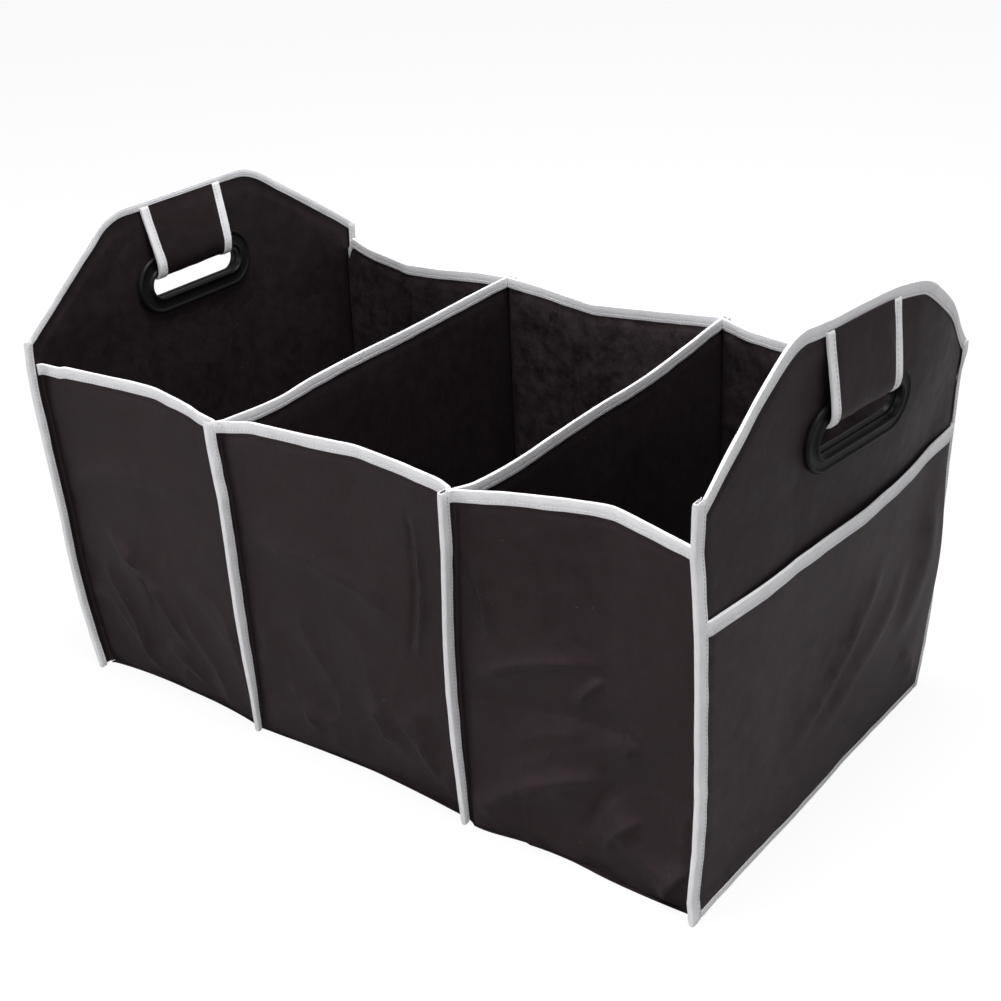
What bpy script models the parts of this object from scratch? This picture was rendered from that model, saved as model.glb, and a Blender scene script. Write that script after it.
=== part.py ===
"""A folding organizer for a car boot: cloth-covered boards sewn together along bound seams.

Two domed end panels with a hand hole and two dividers stand across the length. Short front
and back walls join them and leave three open compartments. The folded edge of every seam is
bound with a light woven tape. Each end panel carries a loose outer pocket, a clamped plastic
hand grip and a cloth wrap sewn around the top bar of the grip.

Metres, +Z up, +X along the length, front at -Y, origin on the ground at the centre.
"""

import math

import bmesh
import bpy
from mathutils import Vector

# Overall sizes
LENGTH = 0.540
DEPTH = 0.338
WALL_HEIGHT = 0.2495
DIVIDER_SPACING = 0.196

# Domes of the two end panels; the left one has sunk a little, the right one stands up
SHOULDER_HEIGHT_LEFT = 0.268
SHOULDER_HEIGHT_RIGHT = 0.281
DOME_HEIGHT_LEFT = 0.338
DOME_HEIGHT_RIGHT = 0.346
DOME_FLAT_HALF = 0.074
DOME_CORNER_RADIUS = 0.050

# How far each end panel leans out of its plane at shoulder height
LEAN_LEFT_FRONT = 0.013
LEAN_LEFT_BACK = -0.003
LEAN_LEFT_HANDLE = 0.016
LEAN_RIGHT_FRONT = 0.001
LEAN_RIGHT_BACK = 0.012
LEAN_RIGHT_HANDLE = 0.0135

# The right panel is also turned a little about the upright, shown as its slope across the grip
TWIST_LEFT = 0.0
TWIST_RIGHT = 0.09
HANDLE_FLAT_HALF = 0.064

# Thicknesses of the cloth, the covered board and the woven tape
CLOTH = 0.0006
COVERED_BOARD = 0.0024
TAPE = 0.0006
GAP = 0.0003

# Widths of the tape legs, and the unstiffened margin beside a seam
TAPE_LEG = 0.010
HEM_LEG = 0.005
WRAP_TAPE_LEG = 0.008
MARGIN_PAST_TAPE = 0.0015
MARGIN_TAPER = 0.003

# Share of a tape's half thickness that its fold is rounded by
FOLD_ROUNDING = 0.55

# Inward creases of the walls at the top, and where along each wall they lie
FRONT_CREASES = (0.0035, 0.0015, 0.0145)
FRONT_CREASE_PLACES = (0.50, 0.56, 0.59)
BACK_CREASES = (0.0150, 0.0170, 0.0110)
BACK_CREASE_PLACES = (0.47, 0.48, 0.50)

# How far the foot of each wall is drawn in (or pushed out) between the seams
FRONT_FOOT_SETBACKS = (0.009, 0.004, -0.005)
BACK_FOOT_SETBACKS = (0.004, 0.003, 0.004)
FOOT_CURVE_HEIGHT = 0.090

# Outer pockets
POCKET_HEIGHT = 0.206
POCKET_BULGE = 0.011

# Floor cloth and loose base boards
FLOOR_CLOTH = 0.0009
BASE_BOARD = 0.0030
BASE_BOARD_CLEARANCE = 0.004
BASE_BOARD_CORNER = 0.006

# Hand grips
GRIP_BELOW_DOME_LEFT = 0.067
GRIP_BELOW_DOME_RIGHT = 0.069
GRIP_OPENING_STRAIGHT = 0.064
GRIP_OPENING_HEIGHT = 0.021
GRIP_RING_WIDTH = 0.0145
GRIP_INNER_LIP = 0.0048
GRIP_FACE = 0.0028
GRIP_OUTER_LIP = 0.0037
GRIP_COLLAR = 0.0022
GRIP_OUTER_ROUNDING = 0.0012
GRIP_OUTER_LIP_WIDTH = 0.0034
GRIP_INNER_SLOPE = 0.0010
GRIP_INNER_ROUNDING = 0.0008

# Cloth wraps around the grips
WRAP_WIDTH_TOP = 0.077
WRAP_WIDTH_GRIP = 0.072
WRAP_BULGE = 0.0090
WRAP_DROP = 0.0028
WRAP_TURN_RADIUS = 0.0042

# Values that follow from the sizes above
SEAM_LAYER = CLOTH + GAP
SEAM_HALF = SEAM_LAYER + CLOTH / 2 + GAP + TAPE / 2
EDGE_HALF = CLOTH / 2 + GAP + TAPE / 2
TAPE_DEPTH = TAPE + GAP
LAYER_DEPTH = TAPE_DEPTH + SEAM_HALF * FOLD_ROUNDING
WALL_INSET = TAPE_LEG + MARGIN_PAST_TAPE
BOARD_START = WALL_INSET + MARGIN_TAPER
SHOULDERS = {-1: SHOULDER_HEIGHT_LEFT, 1: SHOULDER_HEIGHT_RIGHT}
DOMES = {-1: DOME_HEIGHT_LEFT, 1: DOME_HEIGHT_RIGHT}
LEANS = {
    -1: (LEAN_LEFT_FRONT, LEAN_LEFT_HANDLE, LEAN_LEFT_BACK),
    1: (LEAN_RIGHT_FRONT, LEAN_RIGHT_HANDLE, LEAN_RIGHT_BACK),
}
TWISTS = {-1: TWIST_LEFT, 1: TWIST_RIGHT}
HANDLES = {
    -1: DOME_HEIGHT_LEFT - GRIP_BELOW_DOME_LEFT,
    1: DOME_HEIGHT_RIGHT - GRIP_BELOW_DOME_RIGHT,
}
SIDE_NAMES = {-1: "left", 1: "right"}
FACE_NAMES = {-1: "front", 1: "back"}


# Scene and materials

def clear_scene():
    for obj in list(bpy.data.objects):
        bpy.data.objects.remove(obj, do_unlink=True)


def new_collection(name):
    collection = bpy.data.collections.new(name)
    bpy.context.scene.collection.children.link(collection)
    return collection


def new_material(name, colour, roughness, metallic=0.0):
    material = bpy.data.materials.new(name)
    material.use_nodes = True
    shader = material.node_tree.nodes["Principled BSDF"]
    shader.inputs["Base Color"].default_value = (*colour, 1.0)
    shader.inputs["Roughness"].default_value = roughness
    shader.inputs["Metallic"].default_value = metallic
    material.diffuse_color = (*colour, 1.0)
    return material


clear_scene()
PARTS = new_collection("car_organizer")
CUTTERS = new_collection("cutters")
BLACK_CLOTH = new_material("black_cloth", (0.024, 0.021, 0.023), 0.88)
WHITE_TAPE = new_material("light_woven_tape", (0.72, 0.72, 0.73), 0.80)
BLACK_PLASTIC = new_material("black_gloss_plastic", (0.012, 0.012, 0.013), 0.28)


# Shape helpers

def add_object(name, mesh, material, parent, collection=PARTS):
    obj = bpy.data.objects.new(name, mesh)
    if material:
        mesh.materials.append(material)
    collection.objects.link(obj)
    obj.parent = parent
    return obj


def surface_mesh(name, rows):
    """An open surface through rows of points, each row as long as the first."""
    shape = bmesh.new()
    grid = [[shape.verts.new(point) for point in row] for row in rows]
    for lower, upper in zip(grid, grid[1:]):
        for i in range(len(lower) - 1):
            shape.faces.new((lower[i], lower[i + 1], upper[i + 1], upper[i]))
    mesh = bpy.data.meshes.new(name)
    shape.to_mesh(mesh)
    shape.free()
    return mesh


def thicken(obj, thickness, thin=None, weights=None):
    """Gives a sheet its thickness about its middle; where the weight is 0 it is as thin as given."""
    modifier = obj.modifiers.new("Thickness", "SOLIDIFY")
    modifier.thickness = thickness
    modifier.offset = 0.0
    modifier.use_even_offset = True
    if weights:
        group = obj.vertex_groups.new(name="board")
        for index, weight in enumerate(weights):
            group.add([index], weight, "REPLACE")
        modifier.vertex_group = group.name
        modifier.thickness_vertex_group = thin / thickness
    return modifier


def board_panel(name, rows, weight_rows, parent):
    """A board between two layers of cloth that thins to the bare cloth along its seams."""
    obj = add_object(name, surface_mesh(name, rows), BLACK_CLOTH, parent)
    weights = [weight for row in weight_rows for weight in row]
    thicken(obj, COVERED_BOARD, CLOTH, weights)
    return obj


def binding(name, stations, half, parent, material=WHITE_TAPE):
    """A tape folded over an edge. A station is the fold, the leg from fold to tip, and across."""
    rows = []
    for fold, leg, across in stations:
        down = leg.normalized()
        start = fold + down * (TAPE / 2)
        tip = fold + leg
        round_in = down * (half * FOLD_ROUNDING)
        rows.append([
            tip + across * half,
            start + round_in + across * half,
            start + across * (half * 0.45),
            start - across * (half * 0.45),
            start + round_in - across * half,
            tip - across * half,
        ])
    obj = add_object(name, surface_mesh(name, rows), material, parent)
    thicken(obj, TAPE)
    return obj


def stations_along(folds, tips):
    """Stations of a tape from the points of its fold and of its tips, square to the cloth."""
    stations = []
    for i, (fold, tip) in enumerate(zip(folds, tips)):
        run = folds[min(i + 1, len(folds) - 1)] - folds[max(i - 1, 0)]
        leg = tip - fold
        stations.append((fold, leg, run.cross(leg).normalized()))
    return stations


def steps(start, end, count):
    return [start + (end - start) * i / count for i in range(count + 1)]


def smooth(t):
    t = min(max(t, 0.0), 1.0)
    return t * t * (3 - 2 * t)


# The shape of the organizer

def end_plane(side, y, z):
    """X of an end panel's middle surface: leaning outward, and flat around the grip."""
    front, middle, back = LEANS[side]
    corner = front if y < 0 else back
    blend = smooth((abs(y) - HANDLE_FLAT_HALF) / (DEPTH / 2 - HANDLE_FLAT_HALF))
    lean = (middle + (corner - middle) * blend) * z / SHOULDERS[side]
    grip_foot = HANDLES[side] - GRIP_OPENING_HEIGHT / 2 - GRIP_RING_WIDTH
    turned = min(max(y, -HANDLE_FLAT_HALF), HANDLE_FLAT_HALF) * (1 - blend)
    twist = TWISTS[side] * turned * min(z / grip_foot, 1.0)
    return side * (LENGTH / 2 + lean + twist)


def seam_x(number, y, z):
    """X of an upright panel near one of its ends, counted from the left."""
    if number in (0, 3):
        return end_plane(-1 if number == 0 else 1, y, z)
    return (-1 if number == 1 else 1) * DIVIDER_SPACING / 2


def dome_slope(side):
    return (DOMES[side] - SHOULDERS[side]) / (DEPTH / 2 - DOME_FLAT_HALF)


def dome_round_length(side):
    """From the sharp corner of the dome to where its rounding starts."""
    return DOME_CORNER_RADIUS * math.tan(math.atan(dome_slope(side)) / 2)


def dome_top(side, y):
    """Height of the dome's outline above a point across the panel."""
    angle = math.atan(dome_slope(side))
    reach = dome_round_length(side)
    outward = abs(y) - DOME_FLAT_HALF
    if outward <= -reach:
        return DOMES[side]
    if outward >= reach * math.cos(angle):
        return DOMES[side] - outward * dome_slope(side)
    along = outward + reach
    return DOMES[side] - DOME_CORNER_RADIUS + math.sqrt(DOME_CORNER_RADIUS**2 - along**2)


def dome_stretch(side, y):
    """Height under the outline for each unit of depth measured square to the outline."""
    near = GAP
    rise = dome_top(side, abs(y) + near) - dome_top(side, abs(y) - near)
    return math.hypot(1, rise / (2 * near))


def dome_outline(side):
    """Points (y, z) and inward directions from the front shoulder over the top to the back one."""
    angle = math.atan(dome_slope(side))
    reach = dome_round_length(side)
    half = []
    straight_end = DOME_FLAT_HALF + reach * math.cos(angle)
    for y in steps(DEPTH / 2, straight_end, 6):
        half.append((y, dome_top(side, y), angle))
    for turn in steps(angle, 0.0, 5)[1:]:
        y = DOME_FLAT_HALF - reach + DOME_CORNER_RADIUS * math.sin(turn)
        half.append((y, dome_top(side, y), turn))
    for y in steps(DOME_FLAT_HALF - reach, 0.0, 3)[1:]:
        half.append((y, DOMES[side], 0.0))
    points = [(-y, z, math.sin(turn), -math.cos(turn)) for y, z, turn in half]
    points += [(y, z, -math.sin(turn), -math.cos(turn)) for y, z, turn in half[-2::-1]]
    return points


def wall_inset(section, face, u, z):
    """How far the wall's middle lies behind the seam folds, at a share u of the section."""
    if face < 0:
        depth = FRONT_CREASES[section]
        place = FRONT_CREASE_PLACES[section]
        foot = FRONT_FOOT_SETBACKS[section]
    else:
        depth = BACK_CREASES[section]
        place = BACK_CREASE_PLACES[section]
        foot = BACK_FOOT_SETBACKS[section]
    ridge = u / place if u < place else (1 - u) / (1 - place)
    crease = depth * ridge * (z / WALL_HEIGHT) ** 1.3
    low = max(0.0, 1 - z / FOOT_CURVE_HEIGHT) ** 2
    return WALL_INSET + crease + foot * math.sin(math.pi * u) ** 0.7 * low


def wall_point(section, face, u, z):
    root = face * (DEPTH / 2 - WALL_INSET)
    left = seam_x(section, root, z) + SEAM_LAYER
    right = seam_x(section + 1, root, z) - SEAM_LAYER
    y = face * (DEPTH / 2 - wall_inset(section, face, u, z))
    return Vector((left + (right - left) * u, y, z))


# Panels

def build_wall(section, face, parent):
    """A front or back wall of one compartment, its side edges turned into the seams."""
    place = (FRONT_CREASE_PLACES if face < 0 else BACK_CREASE_PLACES)[section]
    width = seam_x(section + 1, face * DEPTH / 2, 0) - seam_x(section, face * DEPTH / 2, 0)
    near = MARGIN_TAPER / width
    far = (BOARD_START - MARGIN_TAPER) / width
    shares = [0.0, near, far] + steps(far, place, 3)[1:] + steps(place, 1 - far, 3)[1:]
    shares += [1 - near, 1.0]
    stiff = [0, 0, 1] + [1] * 3 + [1] * 3 + [0, 0]
    top = WALL_HEIGHT - TAPE_DEPTH
    heights = [FLOOR_CLOTH + CLOTH / 2 + GAP, 0.010]
    heights += steps(0.010, WALL_HEIGHT - BOARD_START, 5)[1:]
    heights += [WALL_HEIGHT - WALL_INSET, top]
    upright = [0] + [1] * 6 + [0, 0]
    rows = []
    weight_rows = []
    for z, board in zip(heights, upright):
        flange = face * (DEPTH / 2 - LAYER_DEPTH)
        row = [wall_point(section, face, u, z) for u in shares]
        row.insert(0, Vector((seam_x(section, flange, z) + SEAM_LAYER, flange, z)))
        row.append(Vector((seam_x(section + 1, flange, z) - SEAM_LAYER, flange, z)))
        rows.append(row)
        weight_rows.append([0] + [board * share for share in stiff] + [0])
    name = f"{FACE_NAMES[face]}_wall_{section + 1}"
    return board_panel(name, rows, weight_rows, parent)


def build_divider(side, parent):
    """A stiff partition whose front and back edges run into the seams."""
    number = 1 if side < 0 else 2
    edge = DEPTH / 2 - TAPE_DEPTH
    inner = DEPTH / 2 - BOARD_START
    across = [-edge, -(DEPTH / 2 - WALL_INSET)] + steps(-inner, inner, 4)
    across += [DEPTH / 2 - WALL_INSET, edge]
    stiff = [0, 0, 1, 1, 1, 1, 1, 0, 0]
    heights = [FLOOR_CLOTH + GAP, 0.010, WALL_HEIGHT / 2]
    heights += [WALL_HEIGHT - BOARD_START, WALL_HEIGHT - WALL_INSET, WALL_HEIGHT - TAPE_DEPTH]
    upright = [0, 1, 1, 1, 0, 0]
    rows = [[Vector((seam_x(number, y, z), y, z)) for y in across] for z in heights]
    weight_rows = [[board * share for share in stiff] for board in upright]
    name = f"divider_{SIDE_NAMES[side]}"
    return board_panel(name, rows, weight_rows, parent)


def build_end_panel(side, parent, cutter):
    """The domed end panel, leaning outward, with the hole that the grip clamps."""
    edge = DEPTH / 2 - TAPE_DEPTH
    margin = DEPTH / 2 - WALL_INSET
    inner = DEPTH / 2 - BOARD_START
    round_end = DOME_FLAT_HALF + dome_round_length(side)
    half = steps(inner, round_end, 5) + steps(round_end, HANDLE_FLAT_HALF, 4)[1:]
    half += [0.0]
    positive = [edge, margin] + half
    across = [-y for y in positive] + positive[-2::-1]
    stiff_half = [0, 0] + [1] * len(half)
    stiff = stiff_half + stiff_half[-2::-1]
    rows = []
    weight_rows = []
    lower = [TAPE_DEPTH, HEM_LEG + MARGIN_PAST_TAPE, HEM_LEG + MARGIN_PAST_TAPE + MARGIN_TAPER]
    for z in lower:
        rows.append([(y, z) for y in across])
    for share in steps(0.0, 1.0, 4)[1:]:
        row = []
        for y in across:
            high = dome_top(side, y) - BOARD_START * dome_stretch(side, y)
            row.append((y, lower[-1] + (high - lower[-1]) * share))
        rows.append(row)
    for depth in (WALL_INSET, TAPE_DEPTH):
        row = []
        for y in across:
            row.append((y, dome_top(side, y) - depth * dome_stretch(side, y)))
        rows.append(row)
    upright = [0, 0, 1] + [1] * 4 + [0, 0]
    points = [[Vector((end_plane(side, y, z), y, z)) for y, z in row] for row in rows]
    weight_rows = [[board * share for share in stiff] for board in upright]
    name = f"end_panel_{SIDE_NAMES[side]}"
    obj = board_panel(name, points, weight_rows, parent)
    hole = obj.modifiers.new("Hand hole", "BOOLEAN")
    hole.operation = "DIFFERENCE"
    hole.object = cutter
    return obj


def build_floor(parent):
    """The cloth floor, its front and back edges following the feet of the walls."""
    clear = SEAM_HALF + TAPE / 2 + GAP
    front = []
    back = []
    for section in range(3):
        for u in steps(0.0, 1.0, 8)[(1 if section else 0):]:
            for face, line in ((-1, front), (1, back)):
                foot = wall_point(section, face, u, 0.0)
                x = min(max(foot.x, -LENGTH / 2 + clear), LENGTH / 2 - clear)
                line.append(Vector((x, foot.y + face * CLOTH / 2, FLOOR_CLOTH / 2)))
    middle = [(a + b) / 2 for a, b in zip(front, back)]
    mesh = surface_mesh("floor_cloth", [front, middle, back])
    obj = add_object("floor_cloth", mesh, BLACK_CLOTH, parent)
    thicken(obj, FLOOR_CLOTH)
    return obj


def build_base_board(section, parent):
    """A cloth-covered board that lies loose on the floor of one compartment."""
    left = seam_x(section, -DEPTH / 2, 0) + COVERED_BOARD / 2 + BASE_BOARD_CLEARANCE
    right = seam_x(section + 1, -DEPTH / 2, 0) - COVERED_BOARD / 2 - BASE_BOARD_CLEARANCE
    front = WALL_INSET + max(FRONT_FOOT_SETBACKS[section], 0) + COVERED_BOARD / 2
    back = WALL_INSET + max(BACK_FOOT_SETBACKS[section], 0) + COVERED_BOARD / 2
    low = -DEPTH / 2 + front + BASE_BOARD_CLEARANCE
    high = DEPTH / 2 - back - BASE_BOARD_CLEARANCE
    shape = bmesh.new()
    bmesh.ops.create_cube(shape, size=1.0)
    bmesh.ops.scale(shape, vec=(right - left, high - low, BASE_BOARD), verts=shape.verts)
    upright = []
    for edge in shape.edges:
        if abs(edge.verts[0].co.z - edge.verts[1].co.z) > BASE_BOARD / 2:
            upright.append(edge)
    bmesh.ops.bevel(
        shape, geom=upright, offset=BASE_BOARD_CORNER, segments=4, profile=0.5, affect="EDGES"
    )
    name = f"base_board_{section + 1}"
    mesh = bpy.data.meshes.new(name)
    shape.to_mesh(mesh)
    shape.free()
    obj = add_object(name, mesh, BLACK_CLOTH, parent)
    obj.location = ((left + right) / 2, (low + high) / 2, FLOOR_CLOTH + GAP + BASE_BOARD / 2)
    return obj


# Bound edges

def mitre(side):
    """Leg of a tape across the shoulder, where the upright tape meets the dome's tape."""
    angle = math.atan(dome_slope(side))
    corner = (math.pi / 2 + angle) / 2
    length = TAPE_LEG / math.sin(corner)
    return length * math.sin(corner), -length * math.cos(corner)


def bind_corner(side, face, parent):
    """The upright tape of a corner seam, from the ground to the shoulder of the dome."""
    in_y, in_z = mitre(side)
    folds = []
    tips = []
    for z in steps(0.0, SHOULDERS[side] - GAP, 3):
        drop = in_z if z > SHOULDERS[side] - 2 * GAP else 0.0
        folds.append(Vector((end_plane(side, face * DEPTH / 2, z), face * DEPTH / 2, z)))
        tip_y = face * (DEPTH / 2 - in_y)
        tips.append(Vector((end_plane(side, tip_y, z + drop), tip_y, z + drop)))
    stations = []
    for fold, leg, across in stations_along(folds, tips):
        stations.append((fold, leg, Vector((across.x, across.y, 0)).normalized()))
    name = f"corner_tape_{FACE_NAMES[face]}_{SIDE_NAMES[side]}"
    return binding(name, stations, SEAM_HALF, parent)


def bind_divider_seam(side, face, parent):
    """The upright tape that joins a divider and the edges of two walls."""
    number = 1 if side < 0 else 2
    edge = face * DEPTH / 2
    base = face * (DEPTH / 2 - WALL_INSET)
    stations = []
    for z in steps(0.0, WALL_HEIGHT, 2):
        fold = Vector((seam_x(number, edge, z), edge, z))
        leg = (Vector((seam_x(number, base, z), base, z)) - fold).normalized() * TAPE_LEG
        stations.append((fold, leg, leg.cross(Vector((0, 0, 1))).normalized()))
    name = f"divider_tape_{FACE_NAMES[face]}_{SIDE_NAMES[side]}"
    return binding(name, stations, SEAM_HALF, parent)


def bind_dome(side, parent):
    """The tape over the domed edge, mitred against the upright tapes."""
    in_y, in_z = mitre(side)
    outline = dome_outline(side)
    folds = []
    tips = []
    for index, (y, z, inward_y, inward_z) in enumerate(outline):
        if index in (0, len(outline) - 1):
            face = -1 if index == 0 else 1
            y -= face * GAP
            z += GAP * dome_slope(side)
            leg_y = -face * in_y
            leg_z = in_z
        else:
            leg_y = inward_y * TAPE_LEG
            leg_z = inward_z * TAPE_LEG
        folds.append(Vector((end_plane(side, y, z), y, z)))
        tips.append(Vector((end_plane(side, y + leg_y, z + leg_z), y + leg_y, z + leg_z)))
    return binding(f"dome_tape_{SIDE_NAMES[side]}", stations_along(folds, tips), EDGE_HALF, parent)


def bind_wall_top(section, face, parent):
    """The tape along the top edge of a wall, following its crease."""
    place = (FRONT_CREASE_PLACES if face < 0 else BACK_CREASE_PLACES)[section]
    root = face * (DEPTH / 2 - WALL_INSET)
    width = seam_x(section + 1, root, WALL_HEIGHT) - seam_x(section, root, WALL_HEIGHT)
    end = (SEAM_HALF + TAPE / 2 + GAP - SEAM_LAYER) / (width - 2 * SEAM_LAYER)
    places = steps(end, place, 3) + steps(place, 1 - end, 3)[1:]
    folds = [wall_point(section, face, u, WALL_HEIGHT) for u in places]
    tips = [wall_point(section, face, u, WALL_HEIGHT - TAPE_LEG) for u in places]
    name = f"top_tape_{FACE_NAMES[face]}_{section + 1}"
    return binding(name, stations_along(folds, tips), EDGE_HALF, parent)


def bind_divider_top(side, parent):
    x = side * DIVIDER_SPACING / 2
    end = DEPTH / 2 - WALL_INSET - CLOTH / 2 - GAP
    leg = Vector((0, 0, -TAPE_LEG))
    stations = []
    for y in steps(-end, end, 2):
        stations.append((Vector((x, y, WALL_HEIGHT)), leg, Vector((1, 0, 0))))
    return binding(f"top_tape_divider_{SIDE_NAMES[side]}", stations, EDGE_HALF, parent)


def bind_hem(side, parent):
    """The narrow tape under the foot of an end panel and its pocket."""
    end = DEPTH / 2 - WALL_INSET - LAYER_DEPTH
    folds = [Vector((end_plane(side, y, GAP / 2), y, GAP / 2)) for y in steps(-end, end, 4)]
    tips = [Vector((end_plane(side, y, HEM_LEG), y, HEM_LEG)) for y in steps(-end, end, 4)]
    return binding(f"hem_tape_{SIDE_NAMES[side]}", stations_along(folds, tips), SEAM_HALF, parent)


# Outer pockets

def pocket_offset(y, z):
    """How far the pocket's cloth stands off the middle of the end panel."""
    if abs(y) > DEPTH / 2 - TAPE_LEG - 3 * GAP or z < HEM_LEG + 3 * GAP:
        return SEAM_LAYER
    share = z / POCKET_HEIGHT
    close = COVERED_BOARD / 2 + GAP + CLOTH / 2
    room_for_tape = (EDGE_HALF + TAPE / 2 - CLOTH / 2) * share**3
    across = abs(y) / (DEPTH / 2 - BOARD_START)
    belly = POCKET_BULGE * share**1.5 * max(0.0, 1 - across**3)
    return close + room_for_tape + belly


def pocket_point(side, y, z):
    return Vector((end_plane(side, y, z) + side * pocket_offset(y, z), y, z))


def build_pocket(side, parent):
    edge = DEPTH / 2 - LAYER_DEPTH
    margin = DEPTH / 2 - TAPE_LEG - 2 * GAP
    inner = DEPTH / 2 - BOARD_START
    across = [-edge, -margin] + steps(-inner, inner, 10) + [margin, edge]
    heights = [LAYER_DEPTH, HEM_LEG + 2 * GAP]
    heights += steps(HEM_LEG + 2 * MARGIN_TAPER, POCKET_HEIGHT - TAPE_LEG, 5)
    heights += [POCKET_HEIGHT - TAPE_DEPTH]
    rows = [[pocket_point(side, y, z) for y in across] for z in heights]
    name = f"end_pocket_{SIDE_NAMES[side]}"
    obj = add_object(name, surface_mesh(name, rows), BLACK_CLOTH, parent)
    thicken(obj, CLOTH)
    return obj


def bind_pocket(side, parent):
    end = DEPTH / 2 - BOARD_START
    places = steps(-end, end, 10)
    folds = [pocket_point(side, y, POCKET_HEIGHT) for y in places]
    tips = [pocket_point(side, y, POCKET_HEIGHT - TAPE_LEG) for y in places]
    return binding(f"pocket_tape_{SIDE_NAMES[side]}", stations_along(folds, tips), EDGE_HALF, parent)


# Hand grips, in a frame with +X out of the panel and +Z up along it

def handle_frame(side, parent):
    frame = bpy.data.objects.new(f"handle_frame_{SIDE_NAMES[side]}", None)
    PARTS.objects.link(frame)
    frame.parent = parent
    frame.location = (end_plane(side, 0, HANDLES[side]), 0, HANDLES[side])
    tilt = math.atan(LEANS[side][1] / SHOULDERS[side])
    turn = -side * math.atan(TWISTS[side])
    frame.rotation_euler = (0, tilt, turn + (0 if side > 0 else math.pi))
    return frame


def oval(radius, segments):
    """Directions around an oval of two half circles and two straights: centre points and spokes."""
    points = []
    for side in (1, -1):
        for turn in steps(-math.pi / 2, math.pi / 2, segments):
            spoke = Vector((0, side * math.cos(turn), side * math.sin(turn)))
            centre = Vector((0, side * GRIP_OPENING_STRAIGHT / 2, 0))
            points.append((centre + spoke * radius, spoke))
    return points


def grip_profile():
    """Section of half a grip: distance outward from the opening, and height off the mid plane."""
    seat = COVERED_BOARD / 2 + GAP
    ring = GRIP_RING_WIDTH
    outer = seat + GRIP_OUTER_LIP
    inner = seat + GRIP_INNER_LIP
    return [
        (0.0, GAP / 2),
        (GRIP_COLLAR, GAP / 2),
        (GRIP_COLLAR, seat),
        (ring, seat),
        (ring, outer - GRIP_OUTER_ROUNDING),
        (ring - GRIP_OUTER_ROUNDING, outer - GRIP_OUTER_ROUNDING / 6),
        (ring - GRIP_OUTER_ROUNDING * 2, outer),
        (ring - GRIP_OUTER_LIP_WIDTH, seat + GRIP_FACE),
        (GRIP_COLLAR + GRIP_INNER_SLOPE * 1.2, seat + GRIP_FACE * 1.1),
        (GRIP_COLLAR + GRIP_INNER_SLOPE * 0.2, inner - GRIP_INNER_ROUNDING / 2),
        (GRIP_COLLAR - GRIP_INNER_SLOPE * 0.8, inner),
        (GRIP_INNER_ROUNDING * 0.75, inner - GRIP_INNER_ROUNDING / 4),
        (0.0, inner - GRIP_INNER_ROUNDING * 1.5),
    ]


def grip_mesh():
    """One half of the grip: its section carried round the oval opening."""
    shape = bmesh.new()
    rings = []
    for point, spoke in oval(GRIP_OPENING_HEIGHT / 2, 10):
        rings.append([
            shape.verts.new(point + spoke * outward + Vector((height, 0, 0)))
            for outward, height in grip_profile()
        ])
    for ring, following in zip(rings, rings[1:] + rings[:1]):
        for i in range(len(ring)):
            j = (i + 1) % len(ring)
            shape.faces.new((ring[i], following[i], following[j], ring[j]))
    bmesh.ops.recalc_face_normals(shape, faces=shape.faces)
    mesh = bpy.data.meshes.new("grip_half")
    shape.to_mesh(mesh)
    shape.free()
    mesh.shade_smooth()
    mesh.set_sharp_from_angle(angle=math.radians(40))
    return mesh


def build_grip(side, frame):
    for layer, turn in (("outer", 0.0), ("inner", math.pi)):
        obj = add_object(f"grip_{layer}_{SIDE_NAMES[side]}", grip_mesh(), BLACK_PLASTIC, frame)
        obj.rotation_euler = (0, 0, turn)


def build_hole_cutter(side, frame):
    """The oval hole in the panel, which clears the collar of the grip all round."""
    radius = GRIP_OPENING_HEIGHT / 2 + GRIP_COLLAR + GAP
    curve = bpy.data.curves.new("hand_hole", "CURVE")
    curve.dimensions = "2D"
    curve.fill_mode = "BOTH"
    curve.extrude = 0.02
    points = [point for point, _ in oval(radius, 10)]
    spline = curve.splines.new("POLY")
    spline.points.add(len(points) - 1)
    for control, point in zip(spline.points, points):
        control.co = (point.y, point.z, 0, 1)
    spline.use_cyclic_u = True
    outline = bpy.data.objects.new("hand_hole_outline", curve)
    CUTTERS.objects.link(outline)
    bpy.context.view_layer.update()
    evaluated = outline.evaluated_get(bpy.context.evaluated_depsgraph_get())
    mesh = bpy.data.meshes.new_from_object(evaluated)
    bpy.data.objects.remove(outline, do_unlink=True)
    shape = bmesh.new()
    shape.from_mesh(mesh)
    bmesh.ops.remove_doubles(shape, verts=shape.verts, dist=0.00001)
    bmesh.ops.recalc_face_normals(shape, faces=shape.faces)
    shape.to_mesh(mesh)
    shape.free()
    cutter = add_object(f"hand_hole_cutter_{SIDE_NAMES[side]}", mesh, None, frame, CUTTERS)
    cutter.rotation_euler = (math.pi / 2, 0, math.pi / 2)
    cutter.hide_render = True
    cutter.display_type = "WIRE"
    return cutter


# Cloth wraps around the top bar of the grips

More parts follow.
